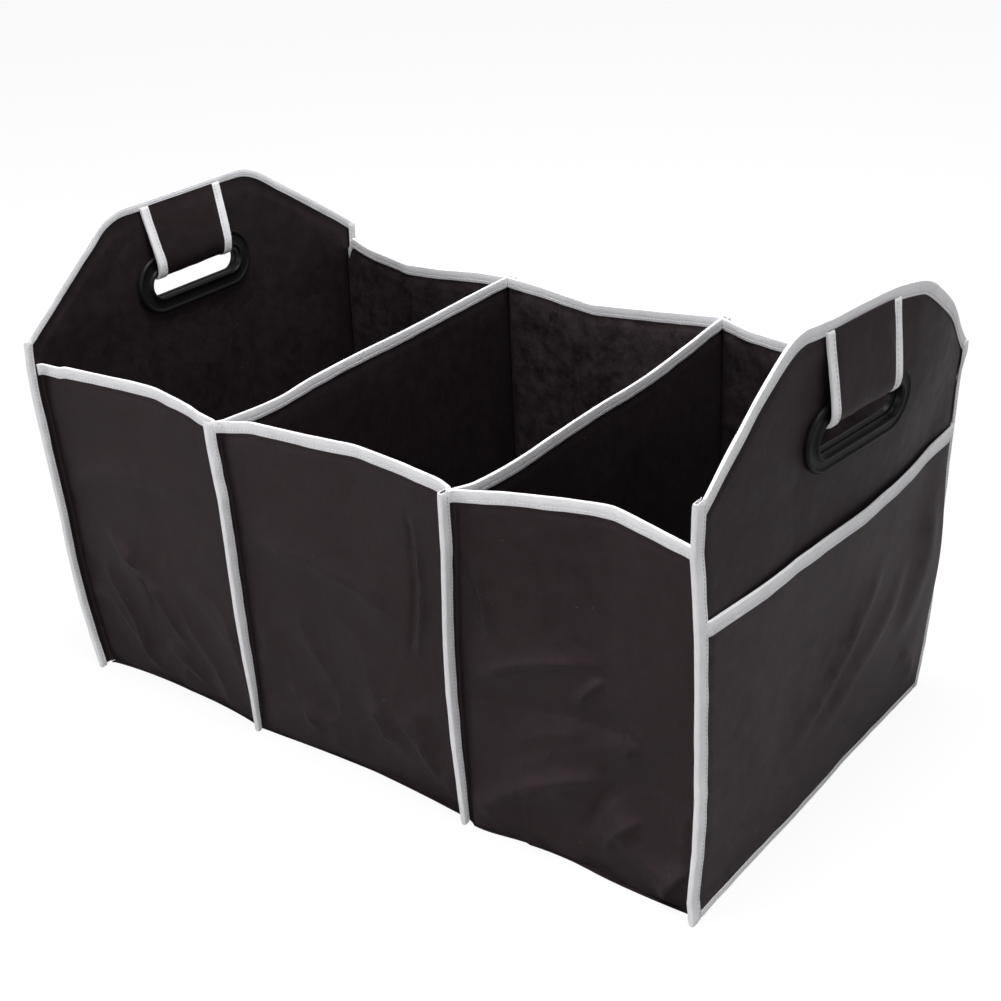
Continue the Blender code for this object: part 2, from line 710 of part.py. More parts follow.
def wrap_path(side):
    """Middle line of the wrap from the outer dome seam, through the opening, to the inner one."""
    tilt = math.atan(LEANS[side][1] / SHOULDERS[side])
    seam = (DOMES[side] - HANDLES[side]) / math.cos(tilt) - TAPE_LEG - 2 * GAP
    bar_top = GRIP_OPENING_HEIGHT / 2 + GRIP_RING_WIDTH
    bar_foot = GRIP_OPENING_HEIGHT / 2
    start = COVERED_BOARD / 2 + GAP + EDGE_HALF
    rim = COVERED_BOARD / 2 + GAP + GRIP_INNER_LIP + EDGE_HALF + TAPE / 2
    out = max(WRAP_BULGE, rim + GAP)
    drop = bar_foot - WRAP_DROP
    half = [
        (start, seam),
        (start + (out - start) * 0.20, seam - (seam - bar_top) * 0.25),
        (start + (out - start) * 0.52, seam - (seam - bar_top) * 0.55),
        (start + (out - start) * 0.85, bar_top + (seam - bar_top) * 0.12),
        (out, bar_top - GRIP_RING_WIDTH * 0.25),
        (out, bar_foot + GRIP_RING_WIDTH * 0.40),
        (out - WRAP_TURN_RADIUS / 3, drop + WRAP_TURN_RADIUS * 0.29),
        (out - WRAP_TURN_RADIUS, drop + WRAP_TURN_RADIUS * 0.02),
    ]
    return half + [(0.0, drop)] + [(-n, z) for n, z in reversed(half)]


def wrap_stations(side):
    """Points along the wrap, its direction across the cloth, and its half width there."""
    path = wrap_path(side)
    low = path[len(path) // 2][1]
    high = path[0][1]
    stations = []
    for i, (n, z) in enumerate(path):
        before = path[max(i - 1, 0)]
        after = path[min(i + 1, len(path) - 1)]
        run = Vector((after[0] - before[0], 0, after[1] - before[1])).normalized()
        width = WRAP_WIDTH_GRIP + (WRAP_WIDTH_TOP - WRAP_WIDTH_GRIP) * (z - low) / (high - low)
        stations.append((Vector((n, 0, z)), run.cross(Vector((0, 1, 0))), width / 2))
    return stations


def build_wrap(side, frame):
    name = f"grip_wrap_{SIDE_NAMES[side]}"
    rows = []
    for point, _, half in wrap_stations(side):
        reach = half - TAPE_DEPTH
        rows.append([point + Vector((0, y, 0)) for y in steps(-reach, reach, 4)])
    obj = add_object(name, surface_mesh(name, rows), BLACK_CLOTH, frame)
    thicken(obj, CLOTH)
    for edge, label in ((-1, "a"), (1, "b")):
        stations = []
        for point, across, half in wrap_stations(side):
            fold = point + Vector((0, edge * half, 0))
            stations.append((fold, Vector((0, -edge * WRAP_TAPE_LEG, 0)), across))
        binding(f"wrap_tape_{SIDE_NAMES[side]}_{label}", stations, EDGE_HALF, frame)


# The whole organizer

def build():
    root = bpy.data.objects.new("organizer_frame", None)
    PARTS.objects.link(root)
    build_floor(root)
    for section in range(3):
        build_base_board(section, root)
        for face in (-1, 1):
            build_wall(section, face, root)
            bind_wall_top(section, face, root)
    for side in (-1, 1):
        frame = handle_frame(side, root)
        cutter = build_hole_cutter(side, frame)
        build_divider(side, root)
        build_end_panel(side, root, cutter)
        build_pocket(side, root)
        build_grip(side, frame)
        build_wrap(side, frame)
        bind_dome(side, root)
        bind_divider_top(side, root)
        bind_hem(side, root)
        bind_pocket(side, root)
        for face in (-1, 1):
            bind_corner(side, face, root)
            bind_divider_seam(side, face, root)
    bpy.context.view_layer.update()


build()
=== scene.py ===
"""Looks of the folding boot organizer: cloth, woven bindings, plastic grips, camera and light.

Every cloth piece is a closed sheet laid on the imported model's surfaces, with its own thickness,
creases and wrinkles. Metres, +Z up, +X along the length, front at -Y.
"""

import math

import bpy
import numpy as np
from mathutils import Matrix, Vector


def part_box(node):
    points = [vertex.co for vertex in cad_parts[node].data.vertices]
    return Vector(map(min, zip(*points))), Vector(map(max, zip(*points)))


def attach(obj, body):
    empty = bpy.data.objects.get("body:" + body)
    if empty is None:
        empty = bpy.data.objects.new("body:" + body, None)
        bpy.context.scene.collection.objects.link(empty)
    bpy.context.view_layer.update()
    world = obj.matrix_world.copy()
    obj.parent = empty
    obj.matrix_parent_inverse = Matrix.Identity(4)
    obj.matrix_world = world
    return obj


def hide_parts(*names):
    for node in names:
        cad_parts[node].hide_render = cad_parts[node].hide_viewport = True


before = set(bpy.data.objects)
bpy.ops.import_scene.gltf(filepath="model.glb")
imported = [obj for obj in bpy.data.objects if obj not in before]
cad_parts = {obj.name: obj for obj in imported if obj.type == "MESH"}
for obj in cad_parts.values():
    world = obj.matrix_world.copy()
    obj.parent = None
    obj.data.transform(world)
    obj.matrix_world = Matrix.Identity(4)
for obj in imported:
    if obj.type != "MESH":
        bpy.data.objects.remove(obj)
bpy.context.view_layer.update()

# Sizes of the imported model
LENGTH, DEPTH, WALL, SPACING = 0.540, 0.338, 0.2495, 0.196
SHOULDER = {-1: 0.268, 1: 0.281}
DOME = {-1: 0.338, 1: 0.346}
DOME_FLAT, DOME_ROUND = 0.074, 0.050
LEANS = {-1: (0.013, 0.016, -0.003), 1: (0.001, 0.0135, 0.012)}
TWIST = {-1: 0.0, 1: 0.09}
GRIP_FLAT = 0.064
CLOTH, BOARD, TAPE, GAP = 0.0006, 0.0024, 0.0006, 0.0003
LEG, HEM_LEG, WRAP_LEG = 0.010, 0.005, 0.008
LAYER = CLOTH + GAP
SEAM_HALF = LAYER + CLOTH / 2 + GAP + TAPE / 2
EDGE_HALF = CLOTH / 2 + GAP + TAPE / 2
INSET, BOARD_START = 0.0115, 0.0145
CREASES = {-1: (0.0035, 0.0015, 0.0145), 1: (0.0150, 0.0170, 0.0110)}
PLACES = {-1: (0.50, 0.56, 0.59), 1: (0.47, 0.48, 0.50)}
FEET = {-1: (0.009, 0.004, -0.005), 1: (0.004, 0.003, 0.004)}
FOOT_CURVE = 0.090
POCKET, WRAP_BULGE = 0.206, 0.0090
INNER_LIP, FACE, OUTER_LIP, COLLAR = 0.0048, 0.0028, 0.0037, 0.0022

# Sizes changed to bring the render nearer to the photo
HANDLE = {-1: 0.2726, 1: 0.2752}
OPEN_STRAIGHT, OPEN_HEIGHT = 0.073, {-1: 0.0195, 1: 0.0220}
RINGS = {"outer": 0.0115, "inner": 0.0130}
WRAP_TOP, WRAP_GRIP, WRAP_DROP, WRAP_AHEAD = 0.083, 0.077, {-1: 0.0038, 1: 0.0019}, 0.003
SEAM_LEG, TOP_LEG, DOME_INNER_LEG = 0.0078, 0.0086, 0.0060
BULGE = {-1: 0.006, 1: 0.0026}
FULLER_ACROSS, FULLER_HEIGHT, FULLER_WIDTH, FULLER_TALL, FULLER_OUT = 0.142, 0.115, 0.030, 0.052, 0.0052

# Finish of the scene's meshes
EDGE_IN_TAPE = 0.0019
RIDGE_GAIN = 1.35
STITCH_PITCH, STITCH_FROM_TIP = 0.0030, 0.0021
STITCH = ((-0.0010, 0.00016), (-0.0005, 0.00034), (0.0005, 0.00034), (0.0010, 0.00016))

SIDES = {-1: "left", 1: "right"}
FACES = {-1: "front", 1: "back"}


# Number helpers

def smooth(t):
    t = np.clip(t, 0.0, 1.0)
    return t * t * (3 - 2 * t)


def unit(v):
    return v / np.maximum(np.linalg.norm(v, axis=-1, keepdims=True), 1e-12)


def noise(a, b, size, seed):
    """Smooth noise from -1 to 1 over two coordinates in metres."""
    table = np.random.default_rng(seed + 1000).uniform(-1, 1, (61, 61))
    a, b = np.broadcast_arrays(np.asarray(a, float) / size, np.asarray(b, float) / size)
    i, j = np.floor(a).astype(int), np.floor(b).astype(int)
    s, t = smooth(a - i), smooth(b - j)
    low = table[i % 61, j % 61] * (1 - s) + table[(i + 1) % 61, j % 61] * s
    high = table[i % 61, (j + 1) % 61] * (1 - s) + table[(i + 1) % 61, (j + 1) % 61] * s
    return low * (1 - t) + high * t


def curve(value, places, heights, spread=0.0):
    """A line through the heights given at some places, rounded over the spread."""
    steps = (-1.0, -0.5, 0.0, 0.5, 1.0) if spread else (0.0,)
    return sum(np.interp(value + step * spread, places, heights) for step in steps) / len(steps)


def crumple(a, b, size, seed):
    """Ridges with hollows between them, from 0 to 1."""
    return (1 - abs(noise(a, b, size, seed))) ** 1.5


def crease(a, b, fold, sharp=False):
    """A ridge (or valley) from one point to another with soft ends, round or with a crisp crest."""
    a0, b0, a1, b1, width, height = fold
    da, db = a1 - a0, b1 - b0
    length = math.hypot(da, db)
    t = ((a - a0) * da + (b - b0) * db) / length**2
    off = ((a - a0) * db - (b - b0) * da) / length
    arc, gentle, crest = 0.06, 0.62, 0.25
    off = off + arc * length * np.sin(np.pi * np.clip(t, 0, 1))
    if sharp:
        uneven = np.where(off > 0, off, gentle * off)
        across = np.exp(crest - np.sqrt(1.9 * uneven**2 / width**2 + crest**2))
    else:
        across = np.exp(-((off / width) ** 2))
    return height * across * smooth((t + 0.1) / 0.35) * smooth((1.1 - t) / 0.35)


# Sways of the seams and edges as the cloth stands: places first, then how far they go

FIRST_SEAM = ([0, 0.03, 0.072, 0.1125, 0.152, 0.1905, 0.228, 0.2495],
              [-0.0020, -0.0016, -0.0026, -0.0042, -0.0054, -0.0068, -0.0113, -0.0125])
SECOND_SEAM = ([0, 0.0205, 0.06, 0.098, 0.1355, 0.1715, 0.207, 0.2495],
               [-0.006, -0.0072, -0.0092, -0.0103, -0.0089, -0.0056, -0.0024, -0.0015])
LEFT_CORNER = ([0, 0.024, 0.051, 0.077, 0.103, 0.128, 0.2255, 0.249, 0.268],
               [0.0040, -0.0025, -0.0062, -0.007, -0.0068, -0.0053, -0.0053, -0.0035, -0.001])
RIGHT_CORNER = ([0, 0.0145, 0.052, 0.088, 0.1235, 0.158, 0.191, 0.2235, 0.25, 0.29],
                [-0.0025, -0.0035, 0.0015, 0.0038, 0.0034, 0.0033, 0.0026, 0.0009, -0.001, 0])
FRONT_TOP = ([-0.27, -0.218, -0.168, -0.14, -0.119, -0.098, -0.073, -0.028, 0.015, 0.056, 0.087, 0.098,
              0.133, 0.17, 0.205, 0.239, 0.265],
             [0.0015, 0.0023, 0.003, -0.0005, -0.004, -0.004, -0.001, 0.0008, 0.0038, 0.003, 0.001, -0.003,
              0.0008, 0.003, 0.0038, 0.0015, 0])
BACK_TOP = ([-0.26, -0.235, -0.187, -0.156, -0.125, -0.095, -0.066, -0.037, -0.009, 0.045, 0.071,
             0.097, 0.122, 0.15],
            [0.012, 0.006, 0.0030, 0.0025, 0.004, 0.0033, 0.004, 0.0033, 0.0025, 0.004, 0.005,
             0.006, 0.001, 0])
RIGHT_DOME = ([-0.169, -0.155, -0.145, -0.13, -0.112, -0.097, -0.086, -0.078, -0.065, -0.05, -0.035,
               0.004, 0.037, 0.054, 0.071, 0.09, 0.11, 0.131, 0.144, 0.155, 0.169],
              [-0.0065, -0.0060, -0.0035, 0.0005, 0.0048, 0.0090, 0.0098, 0.0088, 0.0066, 0.0055,
               0.0050, 0.0050, 0.0040, 0.0015, -0.0014, -0.0020, -0.0010, -0.0022, -0.0055, -0.0095,
               -0.0125])
BOW = ([-0.16, -0.13, -0.08, 0.0, 0.06, 0.12, 0.16], [0.005, 0.010, 0.0085, 0.0065, 0.0075, 0.004, 0.0])
FOOT = ([0, 0.02, 0.06, 0.10], [1.0, 0.75, 0.25, 0.0])
LEFT_DIVIDER_DIP = ([-0.165, -0.158, -0.13, -0.08], [0.0, 0.0050, 0.0040, 0.0])
LEFT_CORNER_DEPTH = ([0, 0.03, 0.25], [0.005, 0.006, -0.003])
SEAM_REACH, CORNER_REACH, DIVIDER_REACH = 0.092, 0.09, 0.03


def settle(p):
    """The small sways of the seams and edges that the cloth shows as it stands."""
    p = np.array(p, float)
    x, y, z = p[..., 0].copy(), p[..., 1].copy(), p[..., 2].copy()
    front, back = smooth((-y - 0.01) / 0.14), smooth((y - 0.01) / 0.14)
    near = smooth((-y - 0.095) / 0.065)
    first = np.clip(1 - abs(x + SPACING / 2) / SEAM_REACH, 0, 1) * near
    second = np.clip(1 - abs(x - SPACING / 2) / SEAM_REACH, 0, 1) * near
    left = np.clip(1 - (x + LENGTH / 2) / CORNER_REACH, 0, 1)
    right = np.clip(1 - (LENGTH / 2 - x) / CORNER_REACH, 0, 1)
    left_divider = np.clip(1 - abs(x + SPACING / 2) / DIVIDER_REACH, 0, 1)
    right_divider = np.clip(1 - abs(x - SPACING / 2) / DIVIDER_REACH, 0, 1)
    right_divider = right_divider * smooth((DEPTH / 2 - 0.006 - abs(y)) / 0.02)

    # Front seams, corners and the bow of the right divider
    p[..., 0] += first * np.interp(z, *FIRST_SEAM) + second * np.interp(z, *SECOND_SEAM)
    p[..., 0] += left * front * np.interp(z, *LEFT_CORNER) + right * front * np.interp(z, *RIGHT_CORNER)
    p[..., 0] += right_divider * z / WALL * curve(y, *BOW, 0.02)
    p[..., 1] -= second * 0.007 * smooth((z - 0.08) / 0.17)
    p[..., 1] += left * front * np.interp(z, *LEFT_CORNER_DEPTH)

    # Feet of the seams and of the right end
    foot = np.interp(z, *FOOT)
    p[..., 0] += foot * (0.0075 * right * np.clip((0.045 - y) / 0.21, 0, 1) + 0.0035 * second)
    p[..., 1] -= foot * (0.0065 * right * front + 0.0045 * second)
    fin = np.clip((-y - DEPTH / 2 + INSET) / INSET, 0, 1)
    p[..., 1] += foot * fin * (0.0060 * (first > 0.5) + 0.0035 * (second > 0.5))
    p[..., 1] -= right * smooth((y - 0.06) / 0.10) * 0.012 * np.clip(1 - z / 0.075, 0, 1) ** 1.6

    # Top edges of the dividers and walls
    high = smooth((z - 0.15) / 0.09)
    p[..., 2] -= left_divider * high * curve(y, *LEFT_DIVIDER_DIP, 0.008)
    between_ends = high * (1 - smooth((abs(x) - 0.256) / 0.008))
    p[..., 2] += between_ends * (front * curve(x, *FRONT_TOP, 0.004) + back * curve(x, *BACK_TOP, 0.006))
    seam_top = smooth((y - 0.158) / 0.008) * smooth((z - 0.215) / 0.03)
    p[..., 2] -= 0.0032 * seam_top * np.clip(2 - abs(abs(x) - SPACING / 2) / 0.012, 0, 1)

    # Right end panel: the dome's edge, and the bends near the back corner
    end = smooth((x - 0.2) / 0.06)
    share = z / dome_top(1, np.clip(y, -DEPTH / 2, DEPTH / 2))
    p[..., 2] += end * smooth((share - 0.84) / 0.12) * curve(y, *RIGHT_DOME, 0.012)
    bowed = np.exp(-(((y - 0.112) / 0.036) ** 2)) * smooth((z - 0.225) / 0.06)
    drawn = smooth((y - 0.01) / 0.06) * (1 - smooth((y - 0.115) / 0.04))
    drawn = drawn * np.exp(-(((z - 0.195) / 0.055) ** 2))
    turned = np.maximum(y - 0.1640, 0) * 1.8 * (1 - smooth((z - 0.245) / 0.03))
    p[..., 0] += end * (0.0045 * bowed - 0.0036 * drawn - turned)
    return p


# The organizer's surfaces

def end_plane(side, y, z):
    y, z = np.asarray(y, float), np.asarray(z, float)
    front, middle, back = LEANS[side]
    corner = np.where(y < 0, front, back)
    blend = smooth((abs(y) - GRIP_FLAT) / (DEPTH / 2 - GRIP_FLAT))
    lean = (middle + (corner - middle) * blend) * z / SHOULDER[side]
    grip_foot = HANDLE[side] - OPEN_HEIGHT[side] / 2 - RINGS["outer"]
    turned = np.clip(y, -GRIP_FLAT, GRIP_FLAT) * (1 - blend)
    return side * (LENGTH / 2 + lean + TWIST[side] * turned * np.minimum(z / grip_foot, 1.0))


def seam_x(number, y, z):
    if number in (0, 3):
        return end_plane(-1 if number == 0 else 1, y, z)
    return (-1 if number == 1 else 1) * SPACING / 2 + np.zeros(np.broadcast(y, z).shape)


def dome_slope(side):
    return (DOME[side] - SHOULDER[side]) / (DEPTH / 2 - DOME_FLAT)


def dome_top(side, y):
    slope = dome_slope(side)
    angle = math.atan(slope)
    reach = DOME_ROUND * math.tan(angle / 2)
    outward = abs(np.asarray(y, float)) - DOME_FLAT
    along = np.clip(outward + reach, 0, DOME_ROUND * math.sin(angle))
    rounded = DOME[side] - DOME_ROUND + np.sqrt(DOME_ROUND**2 - along**2)
    return np.where(outward >= reach * math.cos(angle), DOME[side] - outward * slope, rounded)


def wall_inset(section, face, u, z):
    place = PLACES[face][section]
    ridge = np.where(u < place, u / place, (1 - u) / (1 - place))
    fold = CREASES[face][section] * ridge * (z / WALL) ** 1.3
    low = np.clip(1 - z / FOOT_CURVE, 0, 1) ** 2
    return INSET + fold + FEET[face][section] * np.sin(np.pi * np.clip(u, 0, 1)) ** 0.7 * low


def foot_wave(section, face, x):
    """How the third front section's bottom edge bends in plan, measured from the seam."""
    if (section, face) != (2, -1):
        return 0.0 * x
    wave = 0.0028 * np.exp(-(((x - 0.065) / 0.030) ** 2)) - 0.0052 * np.exp(-(((x - 0.012) / 0.022) ** 2))
    return wave * smooth((x - 0.001) / 0.006)


def wall_rows(section, face, heights, across=88, flange=7):
    """Middle surface of a wall with both edges turned into the seams, and each column's share."""
    z = np.asarray(heights, float)[:, None]
    u = np.linspace(0, 1, across)[None, :]
    root = face * (DEPTH / 2 - INSET)
    left = seam_x(section, root, z) + LAYER
    right = seam_x(section + 1, root, z) - LAYER
    wall = np.stack(np.broadcast_arrays(
        left + (right - left) * u, face * (DEPTH / 2 - wall_inset(section, face, u, z)), z), -1)
    t = np.linspace(0, 1, flange, endpoint=False)[None, :]
    y = face * (DEPTH / 2 - EDGE_IN_TAPE) * (1 - t) + root * t
    ends = []
    for number, sign in ((section, 1), (section + 1, -1)):
        ends.append(np.stack(np.broadcast_arrays(seam_x(number, y, z) + sign * LAYER, y, z), -1))
    rows = np.concatenate([ends[0], wall, ends[1][:, ::-1]], axis=1)
    for _ in range(3):
        rows[:, 1:-1] = rows[:, 1:-1] * 0.5 + (rows[:, :-2] + rows[:, 2:]) * 0.25
    shares = np.concatenate([np.full(flange, -1.0), u[0], np.full(flange, 2.0)])
    return rows, shares


def pocket_offset(side, y, z):
    share = z / POCKET
    close = BOARD / 2 + GAP + CLOTH / 2 + (EDGE_HALF + TAPE / 2 - CLOTH / 2) * share**3
    across = abs(y) / (DEPTH / 2 - BOARD_START)
    belly = BULGE[side] * share**1.5 * np.maximum(0, 1 - across**3)
    from_fuller = ((y * side - FULLER_ACROSS) / FULLER_WIDTH) ** 2
    belly = belly + FULLER_OUT * np.exp(-from_fuller - ((z - FULLER_HEIGHT) / FULLER_TALL) ** 2)
    inside = smooth((DEPTH / 2 - LEG - 2 * GAP - abs(y)) / 0.004) * smooth((z - HEM_LEG - 2 * GAP) / 0.004)
    return LAYER + (close + belly - LAYER) * inside


# Meshes

def add_mesh(name, points, faces, materials, uvs=None, scuff=None, face_slots=None, sharp=55):
    mesh = bpy.data.meshes.new(name)
    mesh.from_pydata(settle(points).tolist(), [], [list(map(int, f)) for f in faces])
    for material in materials:
        mesh.materials.append(material)
    if uvs is not None:
        corners = np.empty(len(mesh.loops), np.int32)
        mesh.loops.foreach_get("vertex_index", corners)
        layer = mesh.uv_layers.new(name="along_cloth")
        layer.data.foreach_set("uv", np.asarray(uvs, np.float32)[corners].ravel())
    if scuff is not None:
        values = mesh.attributes.new("scuff", "FLOAT", "POINT")
        values.data.foreach_set("value", np.asarray(scuff, np.float32))
    if face_slots is not None:
        mesh.polygons.foreach_set("material_index", np.asarray(face_slots, np.int32))
    mesh.polygons.foreach_set("use_smooth", np.ones(len(mesh.polygons), bool))
    mesh.set_sharp_from_angle(angle=math.radians(sharp))
    mesh.update()
    obj = bpy.data.objects.new(name, mesh)
    bpy.context.scene.collection.objects.link(obj)
    return obj


def dress(obj, slot, *nodes):
    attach(obj, "root")
    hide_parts(*nodes)
    return obj


def shell(name, middle, up, down, material, scuff_up=0.0, scuff_down=0.0):
    """A closed sheet about a middle surface; up and down are its skins' distances from it."""
    normal = unit(np.cross(np.gradient(middle, axis=1), np.gradient(middle, axis=0)))
    up, down = np.broadcast_to(up, middle.shape[:2]), np.broadcast_to(down, middle.shape[:2])
    rows, columns = middle.shape[:2]
    count = rows * columns
    points = np.concatenate([
        (middle + normal * up[..., None]).reshape(-1, 3),
        (middle - normal * down[..., None]).reshape(-1, 3),
    ])
    index = np.arange(count).reshape(rows, columns)
    upper = np.stack([index[:-1, :-1], index[:-1, 1:], index[1:, 1:], index[1:, :-1]], -1).reshape(-1, 4)
    ring = np.concatenate([index[0, :-1], index[:-1, -1], index[-1, :0:-1], index[:0:-1, 0]])
    after = np.roll(ring, -1)
    rim = np.stack([after, ring, ring + count, after + count], -1)
    along = np.zeros((rows, columns))
    along[:, 1:] = np.cumsum(np.linalg.norm(np.diff(middle, axis=1), axis=-1), axis=1)
    high = np.zeros((rows, columns))
    high[1:] = np.cumsum(np.linalg.norm(np.diff(middle, axis=0), axis=-1), axis=0)
    uvs = np.stack([along, high], -1).reshape(-1, 2)
    scuff = np.concatenate([
        np.broadcast_to(scuff_up, (rows, columns)).ravel(),
        np.broadcast_to(scuff_down, (rows, columns)).ravel(),
    ])
    faces = np.concatenate([upper, upper[:, ::-1] + count, rim])
    obj = add_mesh(name, points, faces, [material], np.concatenate([uvs, uvs + 0.6]), scuff)
    return obj, (float(along[:, -1].mean()), float(high[-1].mean()))


def tape_section(length, wide, slim, closing, legs):
    """Points round a tape's section: how far from the fold, and how far to the side."""
    section, inner = [], []
    for side, share in zip((1, -1), legs):
        reach = length * share * (0.9 + 0.1 * closing)
        part = [
            (reach - 0.0001, side * (wide - 0.00028)), (reach - 0.0009, side * (wide - 0.00002)),
            (reach - 0.0021, side * (wide - 0.00022)), (reach - 0.0036, side * (wide + 0.00006)),
            (reach * 0.45, side * (wide + 0.00008)), (wide * 0.80, side * wide),
            (wide * 0.28, side * wide * 0.90), (wide * 0.04, side * wide * 0.52),
        ]
        section += part if side > 0 else part[::-1]
        inner.append([(reach - 0.0001, side * slim * closing), (TAPE + slim * 0.9, side * slim * closing)])
    return section + inner[1] + [(TAPE + 0 * length, 0 * length)] + inner[0][::-1]


def at_marks(marks, s, values):
    return np.stack([np.interp(marks, s, values[:, k]) for k in range(3)], -1)


def stitch_row(marks, s, line, run, across, side, start):
    """Points and faces of a row of stitches, threads that are thin at both ends."""
    base, forward, out = (at_marks(marks, s, values) for values in (line, run, across))
    inward = np.cross(forward, out)
    rim = []
    for reach, thick in STITCH:
        for turn in range(4):
            angle = turn * math.pi / 2
            around = out * side * math.cos(angle) + inward * math.sin(angle)
            rim.append(base + forward * reach + around * thick)
    faces = []
    for first in range(start, start + len(rim) * len(marks), len(rim)):
        for low in (first, first + 4, first + 8):
            for turn in range(4):
                other = (turn + 1) % 4
                faces.append([low + turn, low + other, low + 4 + other, low + 4 + turn])
        faces += [[first + 3, first + 2, first + 1, first], [first + 12, first + 13, first + 14, first + 15]]
    if side < 0:
        faces = [face[::-1] for face in faces]
    return np.stack(rim, 1).reshape(-1, 3), faces


def tape(name, folds, tips, half, material, seed, nodes, stitches=True, legs=(1.0, 1.0)):
    """A woven tape folded over an edge, with a row of stitches near the tip of each leg."""
    folds, tips = np.asarray(folds, float), np.asarray(tips, float)
    run = unit(np.gradient(folds, axis=0))
    leg = tips - folds
    length = np.linalg.norm(leg, axis=-1)
    leg = unit(leg)
    across = unit(np.cross(run, leg))
    s = np.concatenate([[0], np.cumsum(np.linalg.norm(np.diff(folds, axis=0), axis=-1))])
    length = length + 0.00035 * noise(s, 0, 0.013, seed)
    wide = half + TAPE / 2 + 0.00012 * noise(s, 0, 0.009, seed + 1)
    slim = half - TAPE / 2
    shift = 0.00015 * noise(s, 0, 0.017, seed + 2)
    closing = np.ones(len(s))
    closing[[0, -1]] = 0.72
    wide = wide * closing
    section = tape_section(length, wide, slim, closing, legs)
    rings = np.stack([
        folds + leg * np.broadcast_to(a, s.shape)[:, None]
        + across * (np.broadcast_to(h, s.shape) + shift)[:, None] for a, h in section
    ], axis=1)
    count, size = rings.shape[:2]
    index = np.arange(count * size).reshape(count, size)
    beside = np.roll(index, -1, axis=1)
    quads = np.stack([index[:-1], beside[:-1], beside[1:], index[1:]], -1).reshape(-1, 4)
    faces = quads.tolist() + [index[0, ::-1].tolist(), index[-1].tolist()]
    a, b, c = (rings.reshape(-1, 3)[quads[:, k]] for k in (0, 1, 2))
    if np.einsum("ij,ij->i", a - rings.mean((0, 1)), np.cross(b - a, c - a)).sum() < 0:
        faces = [face[::-1] for face in faces]
    widths = np.linspace(0, 0.026, size)
    uvs = np.stack(np.broadcast_arrays(s[:, None], widths[None, :]), -1).reshape(-1, 2)
    slots = [0] * len(faces)
    points = [rings.reshape(-1, 3)]
    if stitches:
        marks = np.arange(0.0025, s[-1] - 0.002, STITCH_PITCH)
        for side, share in zip((1, -1), legs):
            line = folds + leg * (length * share - STITCH_FROM_TIP)[:, None]
            line = line + across * (side * (wide - 0.0001) + shift)[:, None]
            threads, thread_faces = stitch_row(marks, s, line, run, across, side, len(uvs))
            faces += thread_faces
            slots += [1] * len(thread_faces)
            points.append(threads)
            uvs = np.concatenate([uvs, np.zeros((len(threads), 2))])
    # The stitches take the second slot: thread darkened with painted shade of the needle holes.
    obj = add_mesh(name, np.concatenate(points), faces, [material, THREAD_WITH_PAINTED_SHADE], uvs, None, slots, 38)
    return dress(obj, "light_tape", *nodes)


# Materials

def new_material(name):
    material = bpy.data.materials.new(name)
    material.use_nodes = True
    return material, material.node_tree, material.node_tree.nodes["Principled BSDF"]


def add_node(tree, kind, inputs=None, **settings):
    node = tree.nodes.new(kind)
    for key, value in settings.items():
        setattr(node, key, value)
    for key, value in (inputs or {}).items():
        if isinstance(value, bpy.types.NodeSocket):
            tree.links.new(value, node.inputs[key])
        else:
            node.inputs[key].default_value = value
    return node


def grey(value):
    return (value, value, value)


def ramp(tree, value, stops):
    node = add_node(tree, "ShaderNodeValToRGB", {"Fac": value})
    elements = node.color_ramp.elements
    while len(elements) < len(stops):
        elements.new(0.5)
    for element, (place, colour) in zip(elements, stops):
        element.position = place
        element.color = (*colour, 1.0)
    return node.outputs["Color"]


def maths(tree, operation, first, second=0.0):
    return add_node(tree, "ShaderNodeMath", {0: first, 1: second}, operation=operation).outputs[0]


def noise_value(tree, place, scale, detail, roughness=0.5):
    inputs = {"Vector": place, "Scale": scale, "Detail": detail, "Roughness": roughness}
    return add_node(tree, "ShaderNodeTexNoise", inputs).outputs["Fac"]


def mix_colours(tree, amount, first, second, blend="MIX"):
    inputs = {"Factor": amount, 6: first, 7: second}
    return add_node(tree, "ShaderNodeMix", inputs, data_type="RGBA", blend_type=blend).outputs[2]


def weave(tree, place, pitch_across, pitch_along):
    """Height of a plain weave: two crossed sets of yarns."""
    parts = add_node(tree, "ShaderNodeSeparateXYZ", {0: place})
    first = maths(tree, "SINE", maths(tree, "MULTIPLY", parts.outputs[0], 2 * math.pi / pitch_across))
    second = maths(tree, "SINE", maths(tree, "MULTIPLY", parts.outputs[1], 2 * math.pi / pitch_along))
    return maths(tree, "MULTIPLY", first, second)


